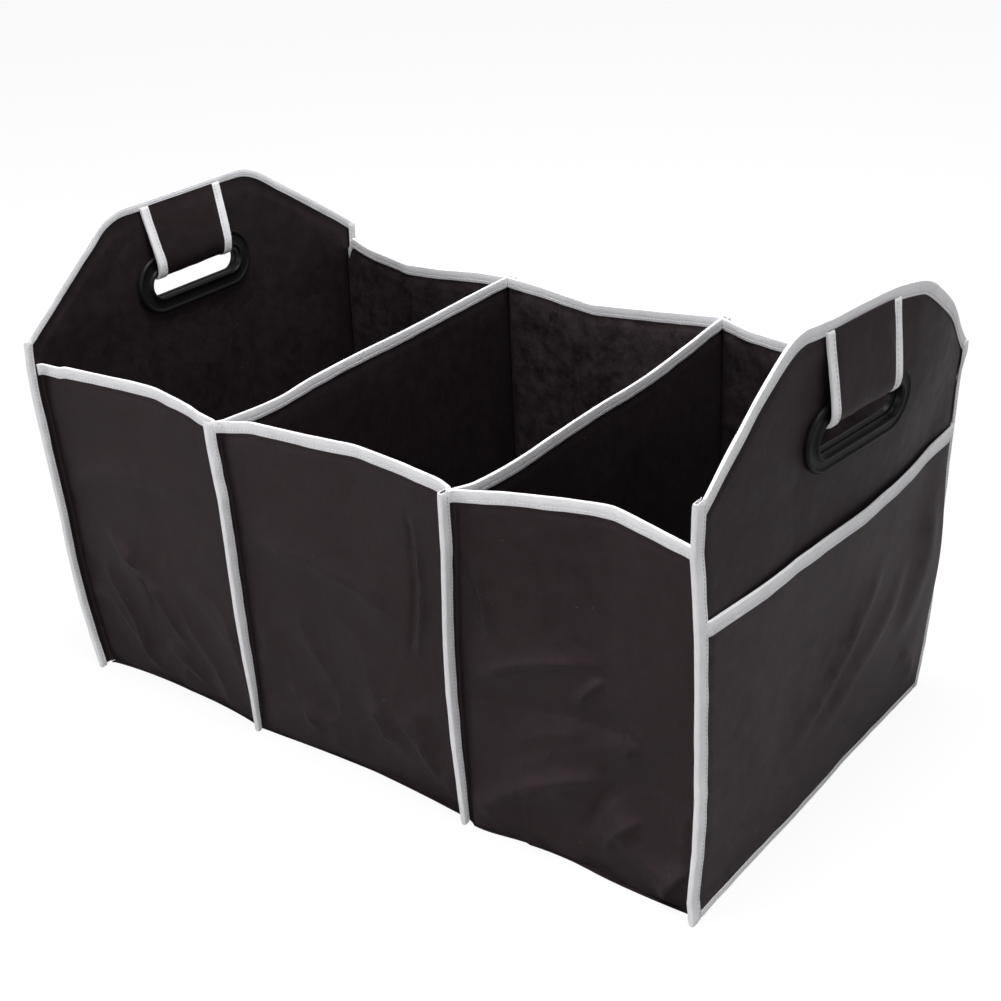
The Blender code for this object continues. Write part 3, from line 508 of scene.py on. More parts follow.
def cloth_material():
    material, tree, shader = new_material("black_woven_cloth")
    place = add_node(tree, "ShaderNodeUVMap", uv_map="along_cloth").outputs[0]
    solid = add_node(tree, "ShaderNodeTexCoord").outputs["Object"]
    scuff = add_node(tree, "ShaderNodeAttribute", attribute_name="scuff").outputs["Fac"]
    broad = noise_value(tree, solid, 9.0, 3.0)
    blotch = noise_value(tree, solid, 85.0, 8.0, 0.72)
    lint = noise_value(tree, solid, 420.0, 2.0)
    tone = ramp(tree, broad, [(0.30, (0.0060, 0.0042, 0.0046)), (0.72, (0.0108, 0.0070, 0.0078))])
    dusty = ramp(tree, blotch, [(0.34, grey(0.0)), (0.80, grey(1.0))])
    amount = maths(tree, "MULTIPLY", dusty, scuff)
    dust, fluff = (0.062, 0.050, 0.053, 1.0), (0.16, 0.15, 0.15, 1.0)
    aged = mix_colours(tree, amount, tone, dust)
    specks = ramp(tree, lint, [(0.745, grey(0.0)), (0.775, grey(1.0))])
    marked = maths(tree, "MULTIPLY", specks, maths(tree, "ADD", scuff, 0.12))
    tree.links.new(mix_colours(tree, marked, aged, fluff), shader.inputs["Base Color"])
    rough = ramp(tree, blotch, [(0.3, grey(0.44)), (0.7, grey(0.60))])
    tree.links.new(rough, shader.inputs["Roughness"])
    shader.inputs["Sheen Weight"].default_value = 0.03
    shader.inputs["Sheen Roughness"].default_value = 0.45
    shader.inputs["Sheen Tint"].default_value = (0.9, 0.76, 0.80, 1.0)
    shader.inputs["Specular IOR Level"].default_value = 0.29
    shader.inputs["Specular Tint"].default_value = (1.0, 0.72, 0.78, 1.0)
    yarns = weave(tree, place, 0.0009, 0.0009)
    fine = noise_value(tree, place, 900.0, 3.0)
    height = maths(tree, "ADD", maths(tree, "MULTIPLY", yarns, 0.5), fine)
    bump = add_node(tree, "ShaderNodeBump", {"Height": height, "Strength": 0.35, "Distance": 0.00025})
    soft = noise_value(tree, solid, 60.0, 4.0)
    rumple = add_node(tree, "ShaderNodeBump", {"Height": soft, "Strength": 0.28, "Distance": 0.0030})
    tree.links.new(bump.outputs[0], rumple.inputs["Normal"])
    tree.links.new(rumple.outputs[0], shader.inputs["Normal"])
    return material


def tape_material(name, low, high):
    material, tree, shader = new_material(name)
    place = add_node(tree, "ShaderNodeUVMap", uv_map="along_cloth").outputs[0]
    solid = add_node(tree, "ShaderNodeTexCoord").outputs["Object"]
    soil = noise_value(tree, solid, 55.0, 5.0, 0.6)
    tone = ramp(tree, soil, [(0.30, low), (0.68, high)])
    ribs = weave(tree, place, 0.0007, 0.0010)
    low_ribs = maths(tree, "MULTIPLY_ADD", ribs, 0.5)
    shade = ramp(tree, low_ribs, [(0.0, (0.86, 0.86, 0.87)), (1.0, grey(1.0))])
    colour = mix_colours(tree, 1.0, tone, shade, "MULTIPLY")
    tree.links.new(colour, shader.inputs["Base Color"])
    rough = ramp(tree, soil, [(0.3, grey(0.72)), (0.7, grey(0.86))])
    tree.links.new(rough, shader.inputs["Roughness"])
    shader.inputs["Sheen Weight"].default_value = 0.15
    shader.inputs["Specular IOR Level"].default_value = 0.3
    fine = noise_value(tree, solid, 1300.0, 2.0)
    height = maths(tree, "ADD", ribs, fine)
    bump = add_node(tree, "ShaderNodeBump", {"Height": height, "Strength": 0.45, "Distance": 0.0003})
    tree.links.new(bump.outputs[0], shader.inputs["Normal"])
    return material


def plastic_material():
    material, tree, shader = new_material("black_moulded_plastic")
    solid = add_node(tree, "ShaderNodeTexCoord").outputs["Object"]
    smear = noise_value(tree, solid, 30.0, 5.0)
    rub = noise_value(tree, solid, 220.0, 4.0, 0.7)
    tone = ramp(tree, smear, [(0.3, (0.0062, 0.0060, 0.0066)), (0.7, (0.0100, 0.0096, 0.0104))])
    tree.links.new(tone, shader.inputs["Base Color"])
    mixed = maths(tree, "ADD", maths(tree, "MULTIPLY", smear, 0.6), maths(tree, "MULTIPLY", rub, 0.4))
    rough = ramp(tree, mixed, [(0.3, grey(0.34)), (0.7, grey(0.52))])
    tree.links.new(rough, shader.inputs["Roughness"])
    shader.inputs["Specular IOR Level"].default_value = 0.14
    bump = add_node(tree, "ShaderNodeBump", {"Height": rub, "Strength": 0.12, "Distance": 0.0004})
    tree.links.new(bump.outputs[0], shader.inputs["Normal"])
    return material


CLOTH_LOOK = cloth_material()
TAPE_LOOK = tape_material("light_woven_tape", (0.86, 0.85, 0.88), (0.95, 0.94, 0.96))
# Thread colour: a grey well below the tape's, painted shade for the shadow in the needle holes along each row
# of stitches.
THREAD_WITH_PAINTED_SHADE = tape_material("sewing_thread_painted_shade", (0.52, 0.52, 0.54), (0.64, 0.64, 0.66))
PLASTIC = plastic_material()


# Walls

# Creases of the outer cloth: from and to (along the wall, height), width, height before RIDGE_GAIN
WRINKLES = {
    (0, -1): [(0.038, 0.124, 0.099, 0.045, 0.0050, 0.0044), (0.025, 0.097, 0.054, 0.017, 0.0042, 0.0040),
              (0.060, 0.107, 0.075, 0.044, 0.0040, -0.0030), (0.005, 0.159, 0.133, 0.175, 0.009, 0.0024),
              (0.075, 0.040, 0.110, 0.015, 0.005, 0.0026), (0.110, 0.100, 0.150, 0.060, 0.007, 0.0016)],
    (1, -1): [(0.150, 0.2135, 0.148, 0.118, 0.0022, -0.0030), (0.1565, 0.212, 0.1545, 0.115, 0.0030, 0.0024),
              (0.0165, 0.159, 0.139, 0.134, 0.010, 0.0030), (0.1065, 0.061, 0.122, 0.034, 0.0045, 0.0034),
              (0.030, 0.050, 0.055, 0.020, 0.005, 0.0024), (0.130, 0.060, 0.165, 0.020, 0.005, 0.0026)],
    (2, -1): [(0.0135, 0.114, 0.091, 0.147, 0.0060, 0.0040), (0.080, 0.117, 0.0955, 0.137, 0.0030, 0.0030),
              (0.007, 0.094, 0.129, 0.104, 0.0050, -0.0026), (0.013, 0.016, 0.097, 0.0685, 0.0070, 0.0046),
              (0.089, 0.030, 0.109, 0.069, 0.0040, -0.0034), (0.009, 0.197, 0.020, 0.143, 0.003, 0.0020),
              (0.140, 0.003, 0.165, 0.033, 0.0045, 0.0042), (0.111, 0.108, 0.115, 0.091, 0.003, 0.0020),
              (0.100, 0.020, 0.125, 0.050, 0.004, 0.0030), (0.040, 0.075, 0.085, 0.095, 0.006, 0.0022)],
}


def wall_billow(section, face, x, z, seed):
    """How far a wall's cloth stands off its card: folds, ridges and small waves."""
    billow = 0.0009 * noise(x, z, 0.055, seed) + 0.0004 * noise(x, z, 0.021, seed + 1)
    for fold in WRINKLES.get((section, face), []):
        billow = billow + RIDGE_GAIN * crease(x, z, fold, sharp=True)
    lower = smooth((0.17 - z) / 0.13) * smooth(z / 0.016)
    ridges = 0.0036 * crumple(x + 0.5 * z, z - 0.3 * x, 0.040, seed + 7)
    ridges = ridges + 0.0008 * crumple(x - 0.4 * z, z + 0.2 * x, 0.018, seed + 8)
    return billow + lower * (ridges - 0.0018)


def build_wall(section, face):
    columns, upper_rows = (132, 112) if face < 0 else (88, 74)
    middle_row = 40
    heights = np.concatenate([
        np.linspace(0.0016, 0.030, 18),
        np.linspace(0.030, WALL - TAPE - GAP, upper_rows)[1:],
    ])
    rows, shares = wall_rows(section, face, heights, across=columns)
    z = heights[:, None]
    width = np.linalg.norm(np.diff(rows[middle_row], axis=0), axis=-1).sum() - 2 * INSET
    x = np.clip(shares, 0, 1)[None, :] * width
    inside = np.where((shares >= 0) & (shares <= 1), np.minimum(x[0], width - x[0]), 0.0)[None, :]
    board = smooth((inside - 0.0005) / 0.004) * smooth((z - 0.002) / 0.008)
    board = board * smooth((WALL - INSET + 0.0005 - z) / 0.004)
    half = CLOTH / 2 + (BOARD - CLOTH) / 2 * board
    free = smooth((inside - 0.001) / 0.012) * smooth((WALL - LEG - 0.0015 - z) / 0.012)
    low = np.clip(1 - z / 0.05, 0, 1)
    seed = 10 * section + 5 * face
    billow = wall_billow(section, face, x, z, seed) + 0.0016 * low * noise(x, z * 0.3, 0.024, seed + 2)
    pull = np.exp(-((inside - 0.004) / 0.010) ** 2) * 0.00045 * noise(z, 0 * x, 0.008, seed + 3)
    skin = free * (billow + pull)
    other = free * (0.0007 * noise(x, z, 0.045, seed + 4) + 0.0003 * noise(x, z, 0.016, seed + 5))
    outer, inner = (skin, other) if face < 0 else (other, skin)
    outer_least, inner_least = (-0.0015, -0.0004) if face < 0 else (-0.0004, -0.0015)
    depthwise = np.array([0, 1, 0])
    rows = rows + depthwise * (free * low * 0.0010 * noise(x, 0 * z, 0.05, seed + 6))[..., None]
    rows = rows + depthwise * (low**2 * foot_wave(section, face, x))[..., None]
    up, down = half + np.maximum(outer, outer_least), half + np.maximum(inner, inner_least)
    dusty = (0.62, 1.0, 0.80)[section] if face > 0 else 0.22
    obj, _ = shell(f"{FACES[face]}_wall_cloth_{section + 1}", rows, up, down, CLOTH_LOOK, dusty, 0.2)
    dress(obj, "black_cloth", f"{FACES[face]}_wall_{section + 1}")
    edge, _ = wall_rows(section, face, [WALL, WALL - TOP_LEG])
    kept = slice(9 if (section, face) == (0, 1) else 4, -4)
    tape(f"{FACES[face]}_wall_binding_{section + 1}", edge[0, kept], edge[1, kept], EDGE_HALF, TAPE_LOOK,
         100 + seed, [f"top_tape_{FACES[face]}_{section + 1}"])


def build_divider(side):
    x = side * SPACING / 2
    edge = DEPTH / 2 - TAPE - GAP
    y = np.linspace(-edge, edge, 110)[None, :]
    z = np.linspace(0.0014, WALL - TAPE - GAP, 76)[:, None]
    inside = DEPTH / 2 - abs(y)
    free = smooth((inside - INSET - 0.002) / 0.02) * smooth((WALL - INSET - z) / 0.015) * smooth(z / 0.02)
    bow = 0.0014 * free * noise(y, z, 0.09, 40 + side)
    middle = np.stack(np.broadcast_arrays(x + bow, y, z), -1)
    board = smooth((inside - INSET) / 0.004) * smooth((WALL - INSET + 0.0005 - z) / 0.004)
    board = board * smooth((z - 0.001) / 0.006)
    half = CLOTH / 2 + (BOARD - CLOTH) / 2 * board
    near = 0.0005 * free * noise(y, z, 0.035, 42 + side)
    obj, _ = shell(f"divider_cloth_{SIDES[side]}", middle, half + near, half - near, CLOTH_LOOK, 0.15, 0.15)
    dress(obj, "black_cloth", f"divider_{SIDES[side]}")
    y = np.linspace(-1, 1, 150) * (DEPTH / 2 - SEAM_LEG + 0.0004)
    folds = np.stack([x + 0 * y, y, WALL - 0.0003 + 0 * y], -1)
    tape(f"divider_binding_{SIDES[side]}", folds, folds - [0, 0, TOP_LEG], EDGE_HALF, TAPE_LOOK, 150 + side,
         [f"top_tape_divider_{SIDES[side]}"])


def build_seam(side, face):
    number = 1 if side < 0 else 2
    z = np.linspace(0.0, WALL + 0.0004, 130)
    y = face * DEPTH / 2
    folds = np.stack([seam_x(number, y, z), y + 0 * z, z], -1)
    tips = folds - [0, face * SEAM_LEG, 0]
    tape(f"seam_binding_{FACES[face]}_{SIDES[side]}", folds, tips, SEAM_HALF, TAPE_LOOK,
         200 + 3 * side + face, [f"divider_tape_{FACES[face]}_{SIDES[side]}"])


# Hand grips

def handle_matrix(side):
    place = Matrix.Translation((float(end_plane(side, 0, HANDLE[side])), 0, HANDLE[side]))
    tilt = math.atan(LEANS[side][1] / SHOULDER[side])
    turn = -side * math.atan(TWIST[side]) + (0 if side > 0 else math.pi)
    return np.array(place @ Matrix.Rotation(turn, 4, "Z") @ Matrix.Rotation(tilt, 4, "Y"))


def placed(points, matrix):
    return points @ matrix[:3, :3].T + matrix[:3, 3]


def oval(radius, segments):
    turn = np.linspace(-math.pi / 2, math.pi / 2, segments)
    rows = []
    for side in (1, -1):
        spoke = np.stack([0 * turn, side * np.cos(turn), side * np.sin(turn)], -1)
        rows.append((spoke * radius + [0, side * OPEN_STRAIGHT / 2, 0], spoke))
    return np.concatenate([rows[0][0], rows[1][0]]), np.concatenate([rows[0][1], rows[1][1]])


def build_grip(side, layer):
    seat, ring = BOARD / 2 + GAP, RINGS[layer]
    profile = [
        (0.0, GAP / 2), (COLLAR, GAP / 2), (COLLAR, seat), (ring, seat), (ring, seat + OUTER_LIP - 0.0012),
        (ring - 0.0010, seat + OUTER_LIP), (ring - 0.0026, seat + OUTER_LIP), (ring - 0.0034, seat + FACE),
        (COLLAR + 0.0014, seat + FACE), (COLLAR + 0.0004, seat + INNER_LIP - 0.0002),
        (0.0010, seat + INNER_LIP), (0.0, seat + INNER_LIP - 0.0014),
    ]
    profile = np.array(profile)
    for _ in range(2):
        after = np.roll(profile, -1, axis=0)
        gap = np.linalg.norm(after - profile, axis=-1, keepdims=True)
        cut = np.minimum(0.25, 0.0006 / gap)
        pairs = [profile + (after - profile) * cut, after - (after - profile) * cut]
        profile = np.stack(pairs, 1).reshape(-1, 2)
    base, spokes = oval(OPEN_HEIGHT[side] / 2, 28)
    points = base[:, None] + spokes[:, None] * profile[None, :, :1]
    points = points + np.array([1.0, 0, 0]) * profile[None, :, 1:]
    if layer == "inner":
        points = points * [-1, -1, 1]
    rings, size = points.shape[:2]
    index = np.arange(rings * size).reshape(rings, size)
    beside, onward = np.roll(index, -1, axis=1), np.roll(index, -1, axis=0)
    faces = np.stack([index, onward, np.roll(onward, -1, axis=1), beside], -1).reshape(-1, 4)
    points = placed(points.reshape(-1, 3), handle_matrix(side))
    obj = add_mesh(f"grip_{layer}_moulding_{SIDES[side]}", points, faces, [PLASTIC], sharp=42)
    dress(obj, "black_plastic", f"grip_{layer}_{SIDES[side]}")


def wrap_line(side):
    """Middle line of the wrap in the grip's frame: out of the panel, and up along it."""
    tilt = math.atan(LEANS[side][1] / SHOULDER[side])
    height = (DOME[side] - HANDLE[side]) / math.cos(tilt) - GAP
    seam, inner_seam = height - 0.0066, height - DOME_INNER_LEG + 0.0024
    bar_foot = OPEN_HEIGHT[side] / 2
    bar = RINGS["outer"]
    bar_top = bar_foot + bar
    start = CLOTH / 2 + GAP + EDGE_HALF + 0.0002
    out = max(WRAP_BULGE, BOARD / 2 + 2 * GAP + INNER_LIP + EDGE_HALF + TAPE / 2)
    drop = bar_foot - WRAP_DROP[side]
    half = [
        (start, seam), (start + (out - start) * 0.20, seam - (seam - bar_top) * 0.25),
        (start + (out - start) * 0.52, seam - (seam - bar_top) * 0.55),
        (start + (out - start) * 0.85, bar_top + (seam - bar_top) * 0.12),
        (out, bar_top - bar * 0.25), (out, bar_foot + bar * 0.40), (out - 0.0014, drop + 0.0012),
        (out - 0.0042, drop + 0.0001),
    ]
    stretch = (inner_seam - bar_foot) / (seam - bar_foot)
    line = np.array(half + [(0.0, drop)] + [
        (-n, bar_foot + (z - bar_foot) * (stretch if z > bar_top else 1.0)) for n, z in reversed(half)])
    length = np.concatenate([[0], np.cumsum(np.linalg.norm(np.diff(line, axis=0), axis=-1))])
    even = np.linspace(0, length[-1], 110)
    line = np.stack([np.interp(even, length, line[:, k]) for k in (0, 1)], -1)
    for _ in range(5):
        line[1:-1] = line[1:-1] * 0.5 + (line[:-2] + line[2:]) * 0.25
    return line, even


def build_wrap(side):
    line, s = wrap_line(side)
    low, high = line[:, 1].min(), line[0, 1]
    half = (WRAP_GRIP + (WRAP_TOP - WRAP_GRIP) * (line[:, 1] - low) / (high - low)) / 2
    matrix = handle_matrix(side)
    v = np.linspace(-1, 1, 40)[None, :]
    ahead = side * -WRAP_AHEAD
    y = v * (half[:, None] - TAPE - GAP) + ahead
    rows = np.stack(np.broadcast_arrays(line[:, :1], y, line[:, 1:]), -1)
    run = np.gradient(line, axis=0)
    outward = unit(np.stack([run[:, 1], 0 * s, -run[:, 0]], -1)) * -1
    free = smooth((1 - abs(v)) / 0.35) * smooth(s / 0.012)[:, None] * smooth((s[-1] - s) / 0.012)[:, None]
    turn = np.exp(-(((s - s[-1] / 2) / 0.022) ** 2))[:, None]
    plump = 0.0011 * free * (1 - turn) + 0.0004 * free * noise(y, s[:, None], 0.018, 60 + side)
    plump = plump + 0.00012 * free * turn * noise(y, 0 * s[:, None], 0.009, 62 + side)
    rows = rows + outward[:, None, :] * plump[..., None]
    obj, flat = shell(f"grip_wrap_cloth_{SIDES[side]}", placed(rows, matrix), CLOTH / 2, CLOTH / 2,
                      CLOTH_LOOK, 0.1, 0.1)
    dress(obj, "black_cloth", f"grip_wrap_{SIDES[side]}")
    for edge, label in ((-1, "a"), (1, "b")):
        folds = np.stack([line[:, 0], edge * half + ahead, line[:, 1]], -1)
        tips = folds - [0, edge * WRAP_LEG, 0]
        tape(f"wrap_binding_{SIDES[side]}_{label}", placed(folds, matrix), placed(tips, matrix),
                          EDGE_HALF, TAPE_LOOK, 300 + 2 * side + edge, [f"wrap_tape_{SIDES[side]}_{label}"])


# End panels and their pockets

def cut_hole(obj, side):
    radius = OPEN_HEIGHT[side] / 2 + COLLAR + GAP
    base, _ = oval(radius, 20)
    count = len(base)
    through = np.array([0.02, 0, 0])
    points = np.concatenate([base - through, base + through])
    faces = [[i, (i + 1) % count, (i + 1) % count + count, i + count] for i in range(count)]
    faces += [list(range(count))[::-1], list(range(count, 2 * count))]
    cutter = bpy.data.meshes.new("hole")
    cutter.from_pydata(placed(points, handle_matrix(side)).tolist(), [], faces)
    helper = bpy.data.objects.new("hole", cutter)
    bpy.context.scene.collection.objects.link(helper)
    hole = obj.modifiers.new("hole", "BOOLEAN")
    hole.object, hole.operation, hole.solver = helper, "DIFFERENCE", "EXACT"
    bpy.context.view_layer.update()
    graph = bpy.context.evaluated_depsgraph_get()
    mesh = bpy.data.meshes.new_from_object(obj.evaluated_get(graph))
    obj.modifiers.clear()
    obj.data = mesh
    bpy.data.objects.remove(helper)


def build_end(side):
    edge = DEPTH / 2 - TAPE - GAP
    y = np.linspace(-edge, edge, 130)[None, :]
    share = np.linspace(0, 1, 116)[:, None]
    slope = (dome_top(side, abs(y) + 0.001) - dome_top(side, abs(y) - 0.001)) / 0.002
    high = dome_top(side, y) - (TAPE + GAP) * np.hypot(1, slope)
    z = 0.0010 + (high - 0.0010) * share
    below = high - z
    inside = DEPTH / 2 - abs(y)
    middle = np.stack(np.broadcast_arrays(end_plane(side, y, z), y, z), -1)
    board = smooth((inside - INSET) / 0.004) * smooth((z - 0.006) / 0.005)
    board = board * smooth((below - INSET * 1.1) / 0.004)
    half = CLOTH / 2 + (BOARD - CLOTH) / 2 * board
    around = np.hypot(np.maximum(abs(y) - OPEN_STRAIGHT / 2, 0), z - HANDLE[side])
    free = smooth((inside - INSET) / 0.02) * smooth((below - INSET) / 0.02)
    free = free * smooth((around - 0.027) / 0.02)
    inner = 0.0007 * noise(y, z, 0.05, 70 + side) + 0.0003 * noise(y, z, 0.018, 72 + side)
    outer = np.where(z > POCKET - 0.002, 0.0007 * noise(y, z, 0.06, 74 + side), 0.0)
    up, down = (outer, inner) if side > 0 else (inner, outer)
    up, down = half + free * up, half + free * down
    obj, _ = shell(f"end_panel_cloth_{SIDES[side]}", middle, up, down, CLOTH_LOOK, 0.2, 0.2)
    cut_hole(obj, side)
    dress(obj, "black_cloth", f"end_panel_{SIDES[side]}")


def bind_dome(side):
    y = np.linspace(-DEPTH / 2, DEPTH / 2, 260)
    z = dome_top(side, y)
    tangent = unit(np.stack([np.gradient(y), np.gradient(z)], -1))
    tip_y, tip_z = y + tangent[:, 1] * LEG, z - tangent[:, 0] * LEG
    folds = np.stack([end_plane(side, y, z), y, z], -1)
    tips = np.stack([end_plane(side, tip_y, tip_z), tip_y, tip_z], -1)
    widths = (1.0, DOME_INNER_LEG / LEG) if side < 0 else (DOME_INNER_LEG / LEG, 0.94)
    tape(f"dome_binding_{SIDES[side]}", folds, tips, EDGE_HALF, TAPE_LOOK, 400 + side,
         [f"dome_tape_{SIDES[side]}"], legs=widths)


def bind_corner(side, face):
    raised = 0.0080 if side > 0 and face < 0 else 0.0012
    leg = LEG if side > 0 else (0.0056 if face < 0 else SEAM_LEG)
    z = np.linspace(0.0, SHOULDER[side] + raised, 140)
    lines = []
    for y in (face * DEPTH / 2, face * (DEPTH / 2 - leg)):
        lines.append(np.stack([end_plane(side, y, z), y + 0 * z, z], -1))
    tape(f"corner_binding_{FACES[face]}_{SIDES[side]}", *lines, SEAM_HALF, TAPE_LOOK,
         420 + 3 * side + face, [f"corner_tape_{FACES[face]}_{SIDES[side]}"])


def bind_hem(side):
    y = np.linspace(-1, 1, 140) * (DEPTH / 2 - LEG - 0.0008)
    folds, tips = (np.stack([end_plane(side, y, z), y, z + 0 * y], -1) for z in (0.0002, HEM_LEG))
    tape(f"hem_binding_{SIDES[side]}", folds, tips, SEAM_HALF, TAPE_LOOK, 440 + side,
         [f"hem_tape_{SIDES[side]}"], stitches=False)


# Folds of the pocket's cloth: from and to (across, height), width, height of the ridge
POCKET_FOLDS = [
    (0.056, 0.151, -0.050, 0.067, 0.008, 0.0030), (0.097, 0.132, -0.021, 0.051, 0.009, 0.0032),
    (0.030, 0.117, -0.063, 0.059, 0.007, 0.0022), (0.132, 0.163, 0.097, 0.069, 0.012, 0.0030),
    (-0.120, 0.150, -0.090, 0.040, 0.014, 0.0012), (0.110, 0.050, 0.140, 0.020, 0.008, 0.0020),
]


def pocket_lift(y):
    """How far the pocket's edge rises towards the back corner."""
    return np.interp(y, [-0.169, -0.10, 0.0, 0.06, 0.12, 0.169], [0.0, -0.0006, 0.0, 0.0012, 0.0030, 0.0060])


def build_pocket(side):
    edge = DEPTH / 2 - EDGE_IN_TAPE
    y = np.linspace(-edge, edge, 120)[None, :]
    z = np.linspace(0.0022, POCKET - TAPE - GAP, 84)[:, None]
    offset = pocket_offset(side, y, z)
    free = smooth((DEPTH / 2 - LEG - 0.002 - abs(y)) / 0.025) * smooth((z - 0.007) / 0.02)
    loose = 0.0007 * noise(y, z, 0.05, 80 + side) + 0.0003 * noise(y, z, 0.02, 82 + side)
    for fold in POCKET_FOLDS:
        loose = loose + crease(y * side, z, fold)
    loose = free * smooth((POCKET - LEG - z) / 0.03) * (loose + 0.0004)
    offset = np.maximum(offset + loose, np.minimum(offset, BOARD / 2 + CLOTH / 2 + 0.0001))
    height = z + pocket_lift(y) * smooth((z - 0.10) / 0.08)
    middle = np.stack(np.broadcast_arrays(end_plane(side, y, z) + side * offset, y, height), -1)
    dusty = 0.85 if side > 0 else 0.35
    obj, flat = shell(f"end_pocket_cloth_{SIDES[side]}", middle, CLOTH / 2, CLOTH / 2,
                      CLOTH_LOOK, dusty, 0.35)
    dress(obj, "black_cloth", f"end_pocket_{SIDES[side]}")
    y = np.linspace(-1, 1, 150) * (DEPTH / 2 - LEG + 0.004)
    lift = pocket_lift(y)
    folds, tips = [
        np.stack([end_plane(side, y, h) + side * pocket_offset(side, y * 0.985, h), y, h + lift], -1)
        for h in (POCKET, POCKET - LEG)
    ]
    bound = tape(f"pocket_binding_{SIDES[side]}", folds, tips, EDGE_HALF, TAPE_LOOK, 460 + side,
                 [f"pocket_tape_{SIDES[side]}"])


# Floor cloth and base boards

def build_floor():
    lines = []
    for face in (-1, 1):
        line = []
        for section in range(3):
            u = np.linspace(0, 1, 50)[(1 if section else 0):]
            left, right = seam_x(section, 0.1, 0.0), seam_x(section + 1, 0.1, 0.0)
            y = face * (DEPTH / 2 - wall_inset(section, face, u, 0.0) + CLOTH / 2 + 0.0014)
            y = y + foot_wave(section, face, u * (right - left))
            line.append(np.stack([left + (right - left) * u, y], -1))
        line = np.concatenate(line)
        line[:, 0] = np.clip(line[:, 0], 0.0025 - LENGTH / 2, LENGTH / 2 - 0.0025)
        lines.append(line)
    front, back = lines
    t = np.linspace(0, 1, 40)[:, None]
    x, y = (front[:, k] * (1 - t) + back[:, k] * t for k in (0, 1))
    middle = np.stack([x, y, np.full(x.shape, 0.00045)], -1)
    ripple = 0.00012 * noise(middle[..., 0], middle[..., 1], 0.02, 90)
    obj, flat = shell("floor_cloth_sheet", middle, 0.00042 + ripple, 0.00040, CLOTH_LOOK, 0.3, 0.5)
    dress(obj, "black_cloth", "floor_cloth")


def build_board(section):
    node = f"base_board_{section + 1}"
    low, high = (np.array(corner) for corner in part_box(node))
    size = high - low
    u, v = np.linspace(-1, 1, 40)[None, :], np.linspace(-1, 1, 60)[:, None]
    gap = np.minimum((1 - abs(u)) * size[0] / 2, (1 - abs(v)) * size[1] / 2)
    radius = 0.006
    corner = np.hypot(np.maximum(abs(u) * size[0] / 2 - size[0] / 2 + radius, 0),
                      np.maximum(abs(v) * size[1] / 2 - size[1] / 2 + radius, 0))
    drawn_in = 0.7 * np.clip(corner - radius, 0, 1)
    centre = (low + high) / 2
    middle = np.stack(np.broadcast_arrays(
        centre[0] + u * (size[0] / 2 - drawn_in), centre[1] + v * (size[1] / 2 - drawn_in),
        centre[2] + 0 * u * v), -1)
    rise = np.clip(gap / 0.0015, 0, 1)
    thin = 0.0003
    half = thin + (size[2] / 2 - thin) * np.sqrt(rise * (2 - rise))
    sag = 0.0003 * noise(middle[..., 0], middle[..., 1], 0.05, 95 + section) * smooth(gap / 0.02)
    obj, _ = shell(f"base_board_cover_{section + 1}", middle, half + sag, half, CLOTH_LOOK, 0.4, 0.3)
    dress(obj, "black_cloth", node)


# Room, light and camera

def build_room():
    floor = bpy.data.meshes.new("studio_floor")
    reach, level = 9, -0.0004
    corners = [(-reach, -reach, level), (reach, -reach, level), (reach, reach, level), (-reach, reach, level)]
    floor.from_pydata(corners, [], [(0, 1, 2, 3)])
    obj = bpy.data.objects.new("studio_floor", floor)
    bpy.context.scene.collection.objects.link(obj)
    material, tree, shader = new_material("studio_white")
    shader.inputs["Roughness"].default_value = 0.9
    shader.inputs["Specular IOR Level"].default_value = 0.1
    path = add_node(tree, "ShaderNodeLightPath")
    tone = ramp(tree, path.outputs["Is Camera Ray"], [(0.0, grey(0.34)), (1.0, grey(0.86))])
    tree.links.new(tone, shader.inputs["Base Color"])
    white = add_node(tree, "ShaderNodeEmission", {"Color": (1, 1, 1, 1), "Strength": 1.0})
    share = maths(tree, "MULTIPLY", path.outputs["Is Camera Ray"], 0.90)
    mix = add_node(tree, "ShaderNodeMixShader", {0: share, 1: shader.outputs[0], 2: white.outputs[0]})
    tree.links.new(mix.outputs[0], tree.nodes["Material Output"].inputs["Surface"])
    floor.materials.append(material)
    world = bpy.data.worlds.new("studio")
    bpy.context.scene.world = world
    world.use_nodes = True
    tree = world.node_tree
    path = add_node(tree, "ShaderNodeLightPath")
    seen = maths(tree, "MAXIMUM", path.outputs["Is Camera Ray"], path.outputs["Is Transmission Ray"])
    soft = add_node(tree, "ShaderNodeBackground", {"Color": (1, 1, 1, 1), "Strength": 0.33})
    white = add_node(tree, "ShaderNodeBackground", {"Color": (1, 1, 1, 1), "Strength": 1.0})
    mix = add_node(tree, "ShaderNodeMixShader", {0: seen, 1: soft.outputs[0], 2: white.outputs[0]})
    tree.links.new(mix.outputs[0], tree.nodes["World Output"].inputs["Surface"])


def place_object(obj, axes, place):
    """Puts an object at a place, turned to its three axes."""
    rows = [[*row, p] for row, p in zip(np.stack(axes, 1), place)]
    obj.matrix_world = Matrix(rows + [[0, 0, 0, 1]])


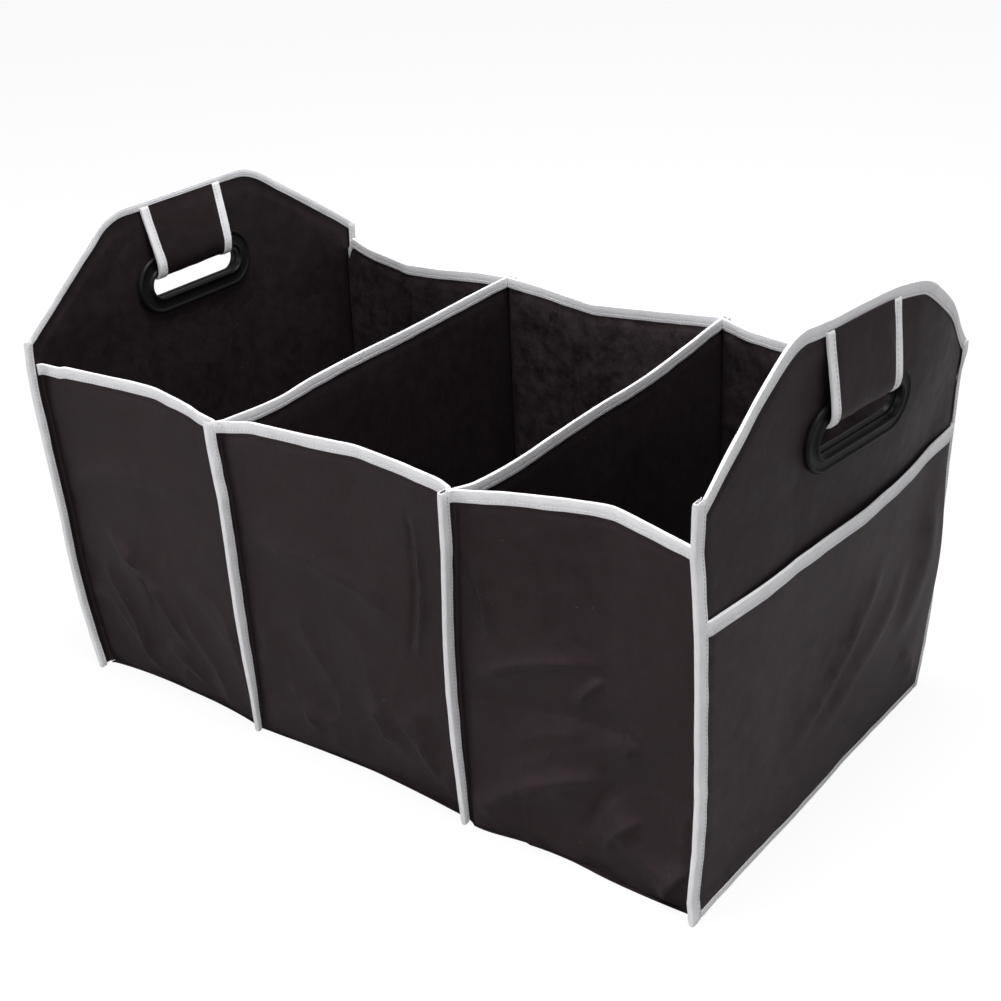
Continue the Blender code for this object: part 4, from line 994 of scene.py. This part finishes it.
def add_light(name, place, target, size, power):
    light = bpy.data.lights.new(name, "AREA")
    light.shape, light.size, light.energy = "SQUARE", size, power
    obj = bpy.data.objects.new(name, light)
    bpy.context.scene.collection.objects.link(obj)
    aim = unit(np.array(target, float) - np.array(place, float))
    side = unit(np.cross(aim, [0.01, 0.02, 1.0]))
    lift = np.cross(side, aim)
    place_object(obj, [side, lift, -aim], place)


def add_camera():
    azimuth, elevation, roll = (math.radians(a) for a in (37.634, 25.912, -2.4975))
    target, distance = np.array([0.00705, 0.00086, 0.14688]), 1.29971
    level = math.cos(elevation)
    back = np.array([math.sin(azimuth) * level, -math.cos(azimuth) * level, math.sin(elevation)])
    side = unit(np.cross(-back, [0, 0, 1]))
    lift = np.cross(side, -back)
    across = side * math.cos(roll) + lift * math.sin(roll)
    upward = lift * math.cos(roll) - side * math.sin(roll)
    camera = bpy.data.cameras.new("photo_view")
    camera.lens, camera.sensor_width, camera.clip_end = 64.37, 36.0, 60.0
    obj = bpy.data.objects.new("photo_view", camera)
    bpy.context.scene.collection.objects.link(obj)
    place_object(obj, [across, upward, back], target + back * distance)
    bpy.context.scene.camera = obj


for number in range(3):
    build_board(number)
    for front_or_back in (-1, 1):
        build_wall(number, front_or_back)
for end in (-1, 1):
    build_divider(end)
    build_end(end)
    bind_dome(end)
    for front_or_back in (-1, 1):
        bind_corner(end, front_or_back)
    bind_hem(end)
    build_pocket(end)
    build_wrap(end)
    for half_name in ("outer", "inner"):
        build_grip(end, half_name)
    for front_or_back in (-1, 1):
        build_seam(end, front_or_back)
build_floor()
build_room()
add_light("overhead_softbox", (0.1, -0.1, 2.4), (0, 0, 0), 1.3, 84)
add_light("front_softbox", (0.5, -2.4, 1.2), (0, 0, 0.15), 1.0, 9)
add_light("right_softbox", (2.2, -0.5, 0.7), (0.25, 0, 0.2), 0.8, 2.6)
add_light("left_softbox", (-1.5, -1.9, 1.0), (0, 0, 0.12), 0.6, 13)
add_camera()
bpy.context.scene.view_settings.view_transform = "Standard"
